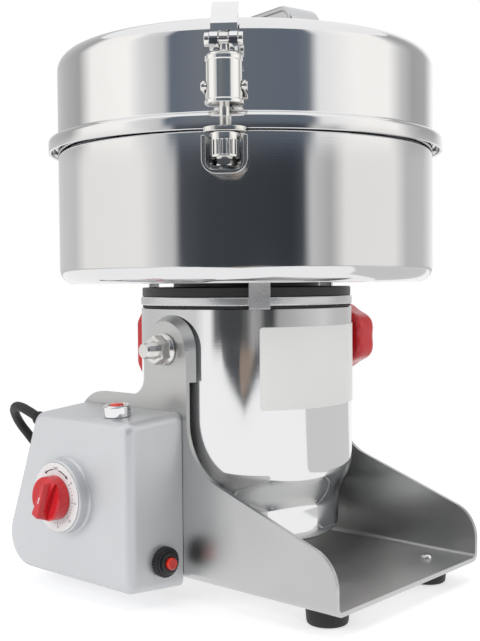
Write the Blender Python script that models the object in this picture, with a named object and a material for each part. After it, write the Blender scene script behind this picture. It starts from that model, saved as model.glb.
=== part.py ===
"""Swing hammer mill: a lidded grinding bowl on a motor that tilts in a U-shaped frame.

Units are metres. The model is laid out with the mill's axis on X = Y = 0, the underside of the
base plate on Z = 0, the discharge side towards -Y and the control box on the -X side. The last
step moves the whole assembly so that its footprint centre stands on the world origin.
"""
import math

import bmesh
import bpy
import numpy as np
from mathutils import Matrix, Vector

MM = 0.001
GAP = 0.3 * MM                      # clearance between pieces that touch
RUN = 0.12 * MM                     # radial clearance of a shaft in its bore

# --- frame -------------------------------------------------------------------------------------
FRAME_HALF_WIDTH = 84.5 * MM
SHEET = 3 * MM
BEND_RADIUS = 6 * MM
FRAME_FRONT = -143 * MM
FRAME_REAR = 121 * MM
FRONT_CORNER_HEIGHT = 33.3 * MM
FRONT_SLOPE = math.radians(19.5)
NECK_HALF_WIDTH = 20.4 * MM
PIVOT_HEIGHT = 154.5 * MM
PAD_OUTER_RADIUS = 19 * MM
PAD_INNER_RADIUS = 23 * MM
PAD_FOOT = PIVOT_HEIGHT - 21.5 * MM
SHOULDER_HEIGHT = PIVOT_HEIGHT - 32.5 * MM
SHOULDER_DEPTH = 84 * MM
FOOT_RADIUS = 14 * MM
FOOT_HEIGHT = 13.4 * MM
FOOT_X = 58.7 * MM
FOOT_FRONT_Y = -117 * MM
FOOT_REAR_Y = 96 * MM

# --- control box -------------------------------------------------------------------------------
BOX_DEPTH = 45.5 * MM               # how far it stands out from the side plate
BOX_WALL = 3 * MM
BOX_DRAFT = 3.2 * MM                # how much each side leans in over that depth
BOX_EDGE = 7 * MM
BOX_FRONT = -16 * MM
BOX_BOTTOM = -5 * MM
BOX_TOP = 113 * MM
BOX_REAR_TOP = 86 * MM
BOX_REAR_FOOT = 131.71 * MM
DIAL_Y = 50 * MM
DIAL_Z = 56 * MM
DIAL_RADIUS = 25 * MM
DIAL_RISE = 8 * MM
KNOB_RADIUS = 15 * MM
KNOB_DEPTH = 14 * MM
KNOB_REST = 25.0                    # degrees its bar leans forward when the timer is off
SPINDLE_RADIUS = 3 * MM
LAMP_X = -FRAME_HALF_WIDTH - 29.5 * MM
LAMP_Y = 15 * MM
LAMP_RADIUS = 9.2 * MM
LAMP_HEIGHT = 8 * MM
LENS_RADIUS = 5.2 * MM
BREAKER_X = -FRAME_HALF_WIDTH - 17.5 * MM
BREAKER_Z = 16 * MM
BREAKER_NUT_RADIUS = 10 * MM
BREAKER_BUTTON_RADIUS = 4 * MM
BREAKER_TRAVEL = 3 * MM
SWITCH_X = -FRAME_HALF_WIDTH - 21.5 * MM
SWITCH_Z = 44 * MM
SWITCH_LENGTH = 21 * MM
SWITCH_WIDTH = 15 * MM
ROCKER_TILT = 8.0                   # degrees, off position
GLAND_X = -FRAME_HALF_WIDTH - 21.5 * MM
GLAND_Z = 95 * MM
GLAND_RADIUS = 9 * MM

# --- cord --------------------------------------------------------------------------------------
CORD_RADIUS = 3.5 * MM
COIL_RADIUS = 38.5 * MM
COIL_CENTRE = (118 * MM, 160 * MM)
CORD_BEND = 27 * MM                 # radius of the loop behind the box
CORD_FALL = ((-71, 147, 60), (-62, 149, 36), (-50, 156, 12), (-30, 166, -5))
CORD_RUN = ((0, 178), (35, 191.5), (66, 199.3))

# --- motor -------------------------------------------------------------------------------------
SHELL_RADIUS = 77 * MM
SHELL_WALL = 2 * MM
SHELL_TOP = 181.3 * MM
SHELL_WAIST = 76 * MM               # where the straight wall starts to draw in
SHELL_FOOT_RADIUS = SHELL_RADIUS - 10 * MM
SHELL_FOOT_TOP = 48 * MM
SHELL_BOTTOM = 19 * MM
SHELL_CORNER = 8 * MM
COVER_HOLE = 36 * MM
BELL_BOTTOM = SHELL_TOP + 2.3 * MM
BELL_TOP = BELL_BOTTOM + 6 * MM
BELL_RADIUS = SHELL_RADIUS + 0.2 * MM
TAB_WIDTH = 14.6 * MM
TAB_AZIMUTH = -42.3
VENT_TOP = BELL_TOP + 6.6 * MM
VENT_RADIUS = SHELL_RADIUS - 0.8 * MM
HUB_RADIUS = 53.4 * MM
SHAFT_RADIUS = 5 * MM
BEARING_RADIUS = 11 * MM
LABEL_BOTTOM = SHELL_TOP - 67.5 * MM
LABEL_TOP = SHELL_TOP - 11.9 * MM
LABEL_AZIMUTH = -42.3
LABEL_SPAN = 89.0
STUD_RADIUS = 5.5 * MM
STUD_REACH = FRAME_HALF_WIDTH + 19.5 * MM
LOCK_HEAD = (FRAME_HALF_WIDTH + 23.5 * MM, FRAME_HALF_WIDTH + 49.5 * MM)
LOCK_RADIUS = 27.5 * MM
LOCK_HUB_RADIUS = 13 * MM

# --- bowl and lid ------------------------------------------------------------------------------
BOWL_RADIUS = 135 * MM
BOWL_WALL = 2 * MM
BOWL_BOTTOM = VENT_TOP + 3 * MM
BOWL_DEPTH = 98.8 * MM
BOWL_CORNER = 10.5 * MM
RIM_HEIGHT = BOWL_BOTTOM + BOWL_DEPTH
RIM_RADIUS = BOWL_RADIUS + 2.8 * MM
SEAL_THICKNESS = 1.4 * MM
LIP_RADIUS = BOWL_RADIUS + 6.7 * MM
LIP_DROP = 10.5 * MM
LID_TOP = RIM_HEIGHT + 63 * MM
LID_CORNER = 12 * MM
HANDLE_WIDTH = 26 * MM
HANDLE_STRAP = 4 * MM
HANDLE_HALF_SPAN = 68 * MM
HANDLE_TURN = -12.0                 # degrees from the line of the side plates
HANDLE_HEIGHT = 25 * MM
HINGE_REACH = BOWL_RADIUS + 15 * MM
HINGE_HEIGHT = RIM_HEIGHT - 1 * MM
HINGE_KNUCKLE = 4.5 * MM
HINGE_WIDTH = 34 * MM
HINGE_PIN_RADIUS = 2.2 * MM

# --- clamp -------------------------------------------------------------------------------------
CLAMP_AZIMUTH = -53.3
CLAMP_REACH = BOWL_RADIUS + 15 * MM
TRUNNION_HEIGHT = RIM_HEIGHT + 16.7 * MM
TRUNNION_RADIUS = 2 * MM
EAR_RADIUS = 3.4 * MM
BARREL_RADIUS = 11 * MM
BARREL = (RIM_HEIGHT + 6 * MM, RIM_HEIGHT + 37 * MM)
CAM_PIN_HEIGHT = RIM_HEIGHT + 44 * MM
CAM_PIN_RADIUS = 2 * MM
KNUCKLE_RADIUS = 4.5 * MM
BOLT_RADIUS = 3 * MM
BOLT_TRAVEL = 1.5 * MM
CATCH_PLATE = (RIM_HEIGHT - 10.1 * MM, RIM_HEIGHT - 7 * MM)
NUT_RADIUS = 9 * MM
NUT = (RIM_HEIGHT - 30 * MM, RIM_HEIGHT - 10.4 * MM)
BOLT_BOTTOM = NUT[0] + 1 * MM
CRADLE_WIDTH = 27.5 * MM
CRADLE_STRAP = 2.8 * MM
LEVER_WIDTH = 16.5 * MM

# --- rotor -------------------------------------------------------------------------------------
SHAFT_TOP = BOWL_BOTTOM + 32.8 * MM
BLADE_LENGTH = 210 * MM
BLADE_WIDTH = 24 * MM
BLADE_SHEET = 2.5 * MM
LOWER_BLADE_HEIGHT = BOWL_BOTTOM + 6.8 * MM
BLADE_PITCH = 14 * MM


# === modelling helpers =========================================================================
def material(name, colour, metallic=0.0, roughness=0.5):
    """Return a Principled material."""
    made = bpy.data.materials.new(name)
    made.use_nodes = True
    shader = made.node_tree.nodes["Principled BSDF"]
    shader.inputs["Base Color"].default_value = (*colour, 1.0)
    shader.inputs["Metallic"].default_value = metallic
    shader.inputs["Roughness"].default_value = roughness
    return made


def finish_object(name, mesh, look, smooth=True):
    """Put a mesh into the scene under its part name."""
    obj = bpy.data.objects.new(name, mesh)
    bpy.context.scene.collection.objects.link(obj)
    if look is not None:
        mesh.materials.append(look)
    if smooth:
        mesh.shade_smooth()
        mesh.set_sharp_from_angle(angle=math.radians(35))
    return obj


def bmesh_object(name, bm, look):
    """Close a bmesh into an object with its faces pointing out."""
    bmesh.ops.recalc_face_normals(bm, faces=bm.faces)
    mesh = bpy.data.meshes.new(name)
    bm.to_mesh(mesh)
    bm.free()
    return finish_object(name, mesh, look)


def fillet(corners, closed=True, steps=4):
    """Round the corners (x, y, radius) of an outline and return its points."""
    count = len(corners)
    points = []
    for i, (x, y, radius) in enumerate(corners):
        here = Vector((x, y))
        if radius <= 0 or (not closed and i in (0, count - 1)):
            points.append((x, y))
            continue
        back = (Vector(corners[i - 1][:2]) - here).normalized()
        ahead = (Vector(corners[(i + 1) % count][:2]) - here).normalized()
        half = back.angle(ahead) / 2
        centre = here + (back + ahead).normalized() * radius / math.sin(half)
        start = here + back * radius / math.tan(half) - centre
        sweep = start.angle_signed(here + ahead * radius / math.tan(half) - centre)
        for k in range(steps + 1):
            turn = -sweep * k / steps
            c, s = math.cos(turn), math.sin(turn)
            points.append((centre.x + c * start.x - s * start.y, centre.y + s * start.x + c * start.y))
    return points


def arc(cx, cy, radius, start, end, steps):
    """Points on an arc, in degrees."""
    angles = np.radians(np.linspace(start, end, steps + 1))
    return [(cx + radius * math.cos(a), cy + radius * math.sin(a)) for a in angles]


def strap(path, thickness):
    """Return the outline of a strip that follows an open path."""
    pts = [Vector(p) for p in path]
    left, right = [], []
    for i, point in enumerate(pts):
        before = pts[max(i - 1, 0)]
        after = pts[min(i + 1, len(pts) - 1)]
        along = (after - before).normalized()
        normal = Vector((-along.y, along.x)) * thickness / 2
        left.append(tuple(point + normal))
        right.append(tuple(point - normal))
    return left + right[::-1]


def turned(name, outline, look=None, segments=24):
    """Turn an (r, z) outline about Z. Points on the axis close the shape there."""
    bm = bmesh.new()
    rings = []
    for r, z in outline:
        if r < 1e-7:
            rings.append([bm.verts.new((0, 0, z))])
            continue
        angles = [2 * math.pi * k / segments for k in range(segments)]
        rings.append([bm.verts.new((r * math.cos(a), r * math.sin(a), z)) for a in angles])
    for one, two in zip(rings, rings[1:] + rings[:1]):
        if len(one) == 1 and len(two) == 1:
            continue
        for k in range(segments):
            a, b = one[k % len(one)], one[(k + 1) % len(one)]
            c, d = two[(k + 1) % len(two)], two[k % len(two)]
            bm.faces.new([v for i, v in enumerate((a, b, c, d)) if v not in (a, b, c, d)[:i]])
    return bmesh_object(name, bm, look)


def ring(name, inner, outer, low, high, look=None, segments=20, chamfer=0.0):
    """A plain turned ring, or a disc when inner is 0."""
    outline = [(inner, low), (outer - chamfer, low), (outer, low + chamfer)]
    outline += [(outer, high - chamfer), (outer - chamfer, high), (inner, high)]
    if chamfer == 0:
        outline = [(inner, low), (outer, low), (outer, high), (inner, high)]
    return turned(name, outline, look, segments)


def prism(name, outline, low, high, look=None):
    """Extrude an (x, y) outline from low to high along Z."""
    return loft(name, [[(x, y, low) for x, y in outline], [(x, y, high) for x, y in outline]], look)


def loft(name, sections, look=None):
    """Skin a stack of closed sections that have the same number of points."""
    bm = bmesh.new()
    rows = [[bm.verts.new(p) for p in section] for section in sections]
    for one, two in zip(rows, rows[1:]):
        for k in range(len(one)):
            nxt = (k + 1) % len(one)
            bm.faces.new((one[k], one[nxt], two[nxt], two[k]))
    bm.faces.new(rows[0])
    bm.faces.new(rows[-1])
    return bmesh_object(name, bm, look)


def block(name, low, high, look=None, bevel=0.0):
    """A box between two corners, with its edges rounded."""
    bm = bmesh.new()
    bmesh.ops.create_cube(bm, size=1.0)
    low, high = Vector(low), Vector(high)
    for v in bm.verts:
        v.co = Vector([low[i] + (v.co[i] + 0.5) * (high[i] - low[i]) for i in range(3)])
    if bevel:
        bmesh.ops.bevel(bm, geom=bm.edges[:], offset=bevel, segments=2, affect="EDGES", profile=0.5)
    return bmesh_object(name, bm, look)


def combine(target, tool, operation):
    """Apply a Boolean to target and take the tool away."""
    bpy.context.view_layer.update()
    modifier = target.modifiers.new("combine", "BOOLEAN")
    modifier.operation = operation
    modifier.object = tool
    depsgraph = bpy.context.evaluated_depsgraph_get()
    mesh = bpy.data.meshes.new_from_object(target.evaluated_get(depsgraph))
    target.modifiers.remove(modifier)
    target.data = mesh
    mesh.set_sharp_from_angle(angle=math.radians(35))
    bpy.data.objects.remove(tool)
    return target


def cut(target, tool):
    """Remove the tool's shape from target."""
    return combine(target, tool, "DIFFERENCE")


def weld(target, tool):
    """Join the tool's shape to target."""
    return combine(target, tool, "UNION")


def put(obj, frame):
    """Place an object with a matrix."""
    obj.matrix_world = frame
    return obj


def along_x(x=0.0, y=0.0, z=0.0, side=1):
    """Frame whose Z points to +X or, for side -1, to -X."""
    return Matrix.Translation((x, y, z)) @ Matrix.Rotation(side * math.pi / 2, 4, "Y")


def station(azimuth):
    """Frame turned about the mill's axis, so that its -Y points outwards at that azimuth."""
    return Matrix.Rotation(math.radians(azimuth), 4, "Z")


def across(azimuth, reach, height):
    """Frame at a station whose X points outwards, Y up and Z along the tangent."""
    turn = Matrix(((0, 0, 1, 0), (-1, 0, 0, 0), (0, 1, 0, 0), (0, 0, 0, 1)))
    return station(azimuth) @ Matrix.Translation((0, -reach, height)) @ turn


def hexagon(flats):
    """Outline of a hexagon with that distance across its flats."""
    return arc(0, 0, flats / math.sqrt(3), 0, 300, 5)


# === frame =====================================================================================
def side_outline():
    """Outline (y, z) of a side plate below its pivot pad."""
    slope = math.tan(FRONT_SLOPE)
    neck_foot = FRONT_CORNER_HEIGHT + (-NECK_HALF_WIDTH - FRAME_FRONT) * slope
    return fillet([
        (FRAME_FRONT, -SHEET, 0),
        (FRAME_FRONT, FRONT_CORNER_HEIGHT, 24 * MM),
        (-NECK_HALF_WIDTH, neck_foot, 42 * MM),
        (-NECK_HALF_WIDTH, PIVOT_HEIGHT, 0),
        (NECK_HALF_WIDTH, PIVOT_HEIGHT, 0),
        (NECK_HALF_WIDTH, SHOULDER_HEIGHT, 13 * MM),
        (SHOULDER_DEPTH, SHOULDER_HEIGHT, 28 * MM),
        (FRAME_REAR, 3 * SHEET, 0),
        (FRAME_REAR, -SHEET, 0),
    ], steps=5)


def pad_outline(radius):
    """Outline (y, z) of the pad round the pivot."""
    return arc(0, PIVOT_HEIGHT, radius, 0, 180, 16) + [(-radius, PAD_FOOT), (radius, PAD_FOOT)]


def base_frame(look):
    """U-shaped sheet frame with a drafted pad round each pivot bore."""
    w, t, r, top = FRAME_HALF_WIDTH, SHEET, BEND_RADIUS, PIVOT_HEIGHT + 2 * PAD_OUTER_RADIUS
    section = fillet([(-w, top, 0), (-w, 0, r), (w, 0, r), (w, top, 0), (w - t, top, 0),
                      (w - t, t, r - t), (-w + t, t, r - t), (-w + t, top, 0)], steps=4)
    frame = loft("base_frame", [[(x, y, z) for x, z in section] for y in (FRAME_FRONT, FRAME_REAR)], look)
    outline = side_outline()
    limit = loft("limit", [[(x, y, z) for y, z in outline] for x in (-2 * w, 2 * w)])
    combine(frame, limit, "INTERSECT")
    for side in (-1, 1):
        outer = [(side * w, y, z) for y, z in pad_outline(PAD_OUTER_RADIUS)]
        inner = [(side * (SHELL_RADIUS + 2 * GAP), y, z) for y, z in pad_outline(PAD_INNER_RADIUS)]
        weld(frame, loft("pad", [outer, inner]))
        bore = ring("bore", 0, STUD_RADIUS + RUN, -w, w)
        cut(frame, put(bore, along_x(side * w, 0, PIVOT_HEIGHT)))
    return frame


def foot(name, x, y, look):
    """Rubber foot under the base plate."""
    outline = [(0, -FOOT_HEIGHT), (FOOT_RADIUS - 1.5 * MM, -FOOT_HEIGHT),
               (FOOT_RADIUS - 0.5 * MM, -FOOT_HEIGHT + 1 * MM), (FOOT_RADIUS, -GAP), (0, -GAP)]
    return put(turned(name, outline, look, 20), Matrix.Translation((x, y, 0)))


# === control box ===============================================================================
BOX_BACK = -FRAME_HALF_WIDTH - GAP
BOX_FACE = BOX_BACK - BOX_DEPTH
DRAFT_ANGLE = math.atan(BOX_DRAFT / BOX_DEPTH)
REAR_NORMAL = Vector((BOX_TOP - BOX_BOTTOM, BOX_REAR_FOOT - BOX_REAR_TOP)).normalized()


def box_outline(inset):
    """Outline (y, z) of the box, moved inwards by inset on every side."""
    lean = Vector((-REAR_NORMAL.y, REAR_NORMAL.x))
    edge = Vector((BOX_REAR_TOP, BOX_TOP)) - REAR_NORMAL * inset
    high = edge + lean * ((BOX_TOP - inset - edge.y) / lean.y)
    low = edge + lean * ((BOX_BOTTOM + inset - edge.y) / lean.y)
    front = BOX_FRONT + inset
    return fillet([(front, low.y, 6 * MM), (front, high.y, 6 * MM),
                   (high.x, high.y, 8 * MM), (low.x, low.y, 21 * MM)], steps=4)


def box_skin(name, inset, face, look=None):
    """Drafted box with a rounded outer edge, as a solid."""
    sections = [(BOX_BACK, inset), (face + BOX_EDGE, inset + BOX_DRAFT * 0.85)]
    for k in range(1, 4):
        a = math.pi / 2 * k / 3
        sections.append((face + BOX_EDGE * (1 - math.sin(a)),
                         inset + BOX_DRAFT * 0.85 + (BOX_EDGE - 1.5 * MM) * (1 - math.cos(a))))
    return loft(name, [[(x, y, z) for y, z in box_outline(d)] for x, d in sections], look)


def wall_frame(y, z, normal, x):
    """Frame on a drafted wall of the box: Z points out of it, X runs away from the plate."""
    inward = (BOX_BACK - x) * math.tan(DRAFT_ANGLE)
    out = Vector((-math.sin(DRAFT_ANGLE), normal[0] * math.cos(DRAFT_ANGLE),
                  normal[1] * math.cos(DRAFT_ANGLE)))
    side = Vector((0, -normal[1], normal[0]))
    across_wall = side.cross(out).normalized()
    frame = Matrix((across_wall, side, out)).transposed().to_4x4()
    return Matrix.Translation((x, y - normal[0] * inward, z - normal[1] * inward)) @ frame


def rear_point(z):
    """Y of the box's rear wall at the plate, at a height."""
    return BOX_REAR_TOP + (BOX_TOP - z) * REAR_NORMAL.y / REAR_NORMAL.x


def lamp_frame():
    return wall_frame(LAMP_Y, BOX_TOP, (0, 1), LAMP_X)


def breaker_frame():
    return wall_frame(BOX_FRONT, BREAKER_Z, (-1, 0), BREAKER_X)


def switch_frame():
    return wall_frame(rear_point(SWITCH_Z), SWITCH_Z, REAR_NORMAL, SWITCH_X)


def gland_frame():
    return wall_frame(rear_point(GLAND_Z), GLAND_Z, REAR_NORMAL, GLAND_X)


def control_box(look):
    """Cast box with an open back, a raised dial boss and a hole for each fitting."""
    box = box_skin("control_box", 0, BOX_FACE, look)
    dial = [(0, -2 * BOX_WALL), (DIAL_RADIUS, -2 * BOX_WALL), (DIAL_RADIUS, DIAL_RISE - 2 * MM),
            (DIAL_RADIUS - 1.6 * MM, DIAL_RISE), (0, DIAL_RISE)]
    weld(box, put(turned("dial", dial), along_x(BOX_FACE, DIAL_Y, DIAL_Z, -1)))
    hollow = box_skin("hollow", BOX_WALL, BOX_FACE + BOX_WALL)
    hollow.location.x += 0.01 * MM
    cut(box, hollow)
    holes = [
        (SPINDLE_RADIUS + GAP, along_x(BOX_FACE, DIAL_Y, DIAL_Z, -1)),
        (LENS_RADIUS + 1.3 * MM, lamp_frame()),
        (BREAKER_BUTTON_RADIUS + 2.4 * MM, breaker_frame()),
        (CORD_RADIUS + 2.4 * MM, gland_frame()),
    ]
    for radius, frame in holes:
        cut(box, put(ring("hole", 0, radius, -4 * BOX_WALL, 4 * BOX_WALL, None, 24), frame))
    x, y = SWITCH_WIDTH / 2 - 0.8 * MM, SWITCH_LENGTH / 2 - 0.8 * MM
    cut(box, put(block("slot", (-x, -y, -2 * BOX_WALL), (x, y, 2 * BOX_WALL)), switch_frame()))
    return box


def timer_parts(box_looks):
    """Timer behind the dial, its dial plate and its knob."""
    plate_look, body_look, knob_look = box_looks
    behind = -BOX_WALL - GAP
    body = turned("timer_body", [(0, behind - 22 * MM), (16 * MM, behind - 22 * MM), (16 * MM, behind),
                                 (SPINDLE_RADIUS, behind), (SPINDLE_RADIUS, DIAL_RISE + 9 * MM),
                                 (0, DIAL_RISE + 9 * MM)], body_look, 24)
    put(body, along_x(BOX_FACE, DIAL_Y, DIAL_Z, -1))
    start = DIAL_RISE + GAP
    plate = ring("dial_plate", SPINDLE_RADIUS + GAP, DIAL_RADIUS - 2.4 * MM, start, start + 0.6 * MM,
                 plate_look, 32)
    put(plate, along_x(BOX_FACE, DIAL_Y, DIAL_Z, -1))
    base = start + 0.6 * MM + GAP
    bore = SPINDLE_RADIUS + GAP
    knob = turned("timer_knob", [(0, 0), (KNOB_RADIUS, 0), (KNOB_RADIUS - 0.8 * MM, 5 * MM),
                                 (KNOB_RADIUS - 2.2 * MM, 6.2 * MM), (0, 6.2 * MM)], knob_look, 24)
    bar = block("bar", (-KNOB_RADIUS + 1 * MM, -4 * MM, 3 * MM),
                (KNOB_RADIUS - 1 * MM, 4 * MM, KNOB_DEPTH), None, 1.2 * MM)
    weld(knob, put(bar, Matrix.Rotation(math.radians(-KNOB_REST), 4, "Z")))
    cut(knob, ring("bore", 0, bore, -1 * MM, DIAL_RISE + 9.3 * MM - base, None, 24))
    put(knob, along_x(BOX_FACE - base, DIAL_Y, DIAL_Z, -1))


def lamp_parts(bezel_look, lens_look):
    """Pilot lamp on top of the box."""
    bore, stem = LENS_RADIUS + GAP, LENS_RADIUS + 1.0 * MM
    bezel = turned("lamp_bezel", [(bore, -14 * MM), (stem, -14 * MM), (stem, GAP), (LAMP_RADIUS, GAP),
                                  (LAMP_RADIUS, LAMP_HEIGHT - 1 * MM), (LAMP_RADIUS - 1 * MM, LAMP_HEIGHT),
                                  (bore, LAMP_HEIGHT - 0.6 * MM)], bezel_look, 20)
    lens = turned("lamp_lens", [(0, -10 * MM), (LENS_RADIUS, -10 * MM), (LENS_RADIUS, LAMP_HEIGHT - 0.6 * MM),
                                (LENS_RADIUS * 0.75, LAMP_HEIGHT + 0.8 * MM), (0, LAMP_HEIGHT + 1.4 * MM)],
                  lens_look, 24)
    put(bezel, lamp_frame())
    put(lens, lamp_frame())


def breaker_parts(body_look, button_look):
    """Resettable breaker: body inside, nut outside, button through both."""
    neck = BREAKER_BUTTON_RADIUS + 2.1 * MM
    inside = -BOX_WALL - 1.2 * MM
    body = turned("breaker_body", [(0, inside - 24 * MM), (7 * MM, inside - 24 * MM), (7 * MM, inside),
                                   (neck, inside), (neck, 5 * MM), (BREAKER_BUTTON_RADIUS + GAP, 5 * MM),
                                   (BREAKER_BUTTON_RADIUS + GAP, -10 * MM), (0, -10 * MM)], body_look, 24)
    nut = ring("breaker_nut", neck + GAP, BREAKER_NUT_RADIUS, GAP, 5.4 * MM, body_look, 20, 1 * MM)
    button = turned("breaker_button", [(0, -10 * MM + BREAKER_TRAVEL + GAP),
                                       (BREAKER_BUTTON_RADIUS, -10 * MM + BREAKER_TRAVEL + GAP),
                                       (BREAKER_BUTTON_RADIUS, 9.4 * MM),
                                       (BREAKER_BUTTON_RADIUS - 1 * MM, 10.4 * MM), (0, 10.4 * MM)],
                    button_look, 20)
    for piece in (body, nut, button):
        put(piece, breaker_frame())


def switch_parts(look):
    """Rocker switch in the rear wall."""
    x, y = SWITCH_WIDTH / 2, SWITCH_LENGTH / 2
    body = block("switch_body", (-x, -y, GAP), (x, y, 2.2 * MM), look)
    inner = 1.2 * MM
    weld(body, block("housing", (-x + inner, -y + inner, -16 * MM), (x - inner, y - inner, 1 * MM)))
    cut(body, block("well", (-x + 2.2 * MM, -y + 2.2 * MM, -7 * MM), (x - 2.2 * MM, y - 2.2 * MM, 5 * MM)))
    put(body, switch_frame())
    half = x - 2.2 * MM - GAP
    profile = arc(0, 0, y - 3.2 * MM, 200, 340, 8) + [(y - 3.4 * MM, 2.6 * MM), (0, 1.2 * MM), (-y + 3.4 * MM, 2.6 * MM)]
    squat = [(u, max(v, -3.6 * MM)) for u, v in profile]
    rocker = loft("switch_rocker", [[(s, u, v) for u, v in squat] for s in (-half, half)], look)
    put(rocker, switch_frame() @ Matrix.Rotation(math.radians(-ROCKER_TILT), 4, "X"))


def cord_parts(look):
    """Gland, free cord, coil and plug."""
    bore = CORD_RADIUS + GAP
    gland = turned("cord_gland", [(bore, -8 * MM), (bore + 1.8 * MM, -8 * MM), (bore + 1.8 * MM, GAP),
                                  (GLAND_RADIUS, GAP), (GLAND_RADIUS, 6 * MM), (GLAND_RADIUS - 2 * MM, 8 * MM),
                                  (bore + 1.4 * MM, 20 * MM), (bore, 20 * MM)], look, 24)
    put(gland, gland_frame())
    start = gland_frame()
    out = start.to_3x3() @ Vector((0, 0, 1))
    down = Vector((0.611, 0.325, -0.721))
    mouth = start @ Vector((0, 0, 31 * MM))
    floor = -FOOT_HEIGHT + CORD_RADIUS + GAP
    cx, cy = COIL_CENTRE
    route = [start @ Vector((0, 0, -4 * MM)), start @ Vector((0, 0, 21 * MM)), mouth]
    for k in range(1, 6):
        a = math.radians(26 * k)
        route.append(mouth + CORD_BEND * (math.sin(a) * out + (1 - math.cos(a)) * down))
    route += [Vector((x * MM, y * MM, z * MM)) for x, y, z in CORD_FALL]
    route += [Vector((x * MM, y * MM, floor)) for x, y in CORD_RUN]
    route.append(Vector((cx - 25 * MM, cy + 41.5 * MM, floor)))
    tube("mains_cord", route, look)
    flat = 2 * CORD_RADIUS
    coil = ring("cord_coil", COIL_RADIUS - flat, COIL_RADIUS + flat, 0, 2 * flat, look, 28, 2.4 * MM)
    put(coil, Matrix.Translation((cx, cy, -FOOT_HEIGHT)))
    plug = block("mains_plug", (-13 * MM, -19 * MM, 0), (13 * MM, 19 * MM, 19 * MM), look, 4 * MM)
    for side in (-1, 1):
        pin = put(ring("pin", 0, 2.3 * MM, 0, 24 * MM, None, 12),
                  Matrix.Translation((side * 7 * MM, 14 * MM, 9.5 * MM)) @ Matrix.Rotation(-math.pi / 2, 4, "X"))
        weld(plug, pin)
    put(plug, Matrix.Translation((cx - 42 * MM, cy + 63.6 * MM, -FOOT_HEIGHT)))


def tube(name, route, look):
    """Round cord through the route's points, read from a smooth curve."""
    pts = [Vector(p) for p in route]
    knots = [pts[0] * 2 - pts[1]] + pts + [pts[-1] * 2 - pts[-2]]
    smooth = []
    for a, b, c, d in zip(knots, knots[1:], knots[2:], knots[3:]):
        steps = max(2, round((c - b).length / (2.6 * 2 * CORD_RADIUS)))
        for k in range(steps):
            t = k / steps
            smooth.append(0.5 * (2 * b + (c - a) * t + (2 * a - 5 * b + 4 * c - d) * t * t
                                 + (3 * b - a - 3 * c + d) * t ** 3))
    smooth.append(pts[-1])
    curve = bpy.data.curves.new(name, "CURVE")
    curve.dimensions = "3D"
    curve.bevel_depth = CORD_RADIUS
    curve.bevel_resolution = 2
    curve.use_fill_caps = True
    spline = curve.splines.new("POLY")
    spline.points.add(len(smooth) - 1)
    for point, co in zip(spline.points, smooth):
        point.co = (*co, 1)
    curve.materials.append(look)
    bpy.context.scene.collection.objects.link(bpy.data.objects.new(name, curve))


# === motor =====================================================================================
def shell_profile(inset):
    """Outer line (r, z) of the motor shell from its foot to its top, moved in by inset."""
    return fillet([
        (COVER_HOLE, SHELL_BOTTOM + inset, 0),
        (SHELL_FOOT_RADIUS - inset, SHELL_BOTTOM + inset, SHELL_CORNER - inset),
        (SHELL_FOOT_RADIUS - inset, SHELL_FOOT_TOP, 24 * MM),
        (SHELL_RADIUS - inset, SHELL_WAIST - 10 * MM, 26 * MM),
        (SHELL_RADIUS - inset, SHELL_TOP, 0),
    ], closed=False, steps=2)


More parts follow.
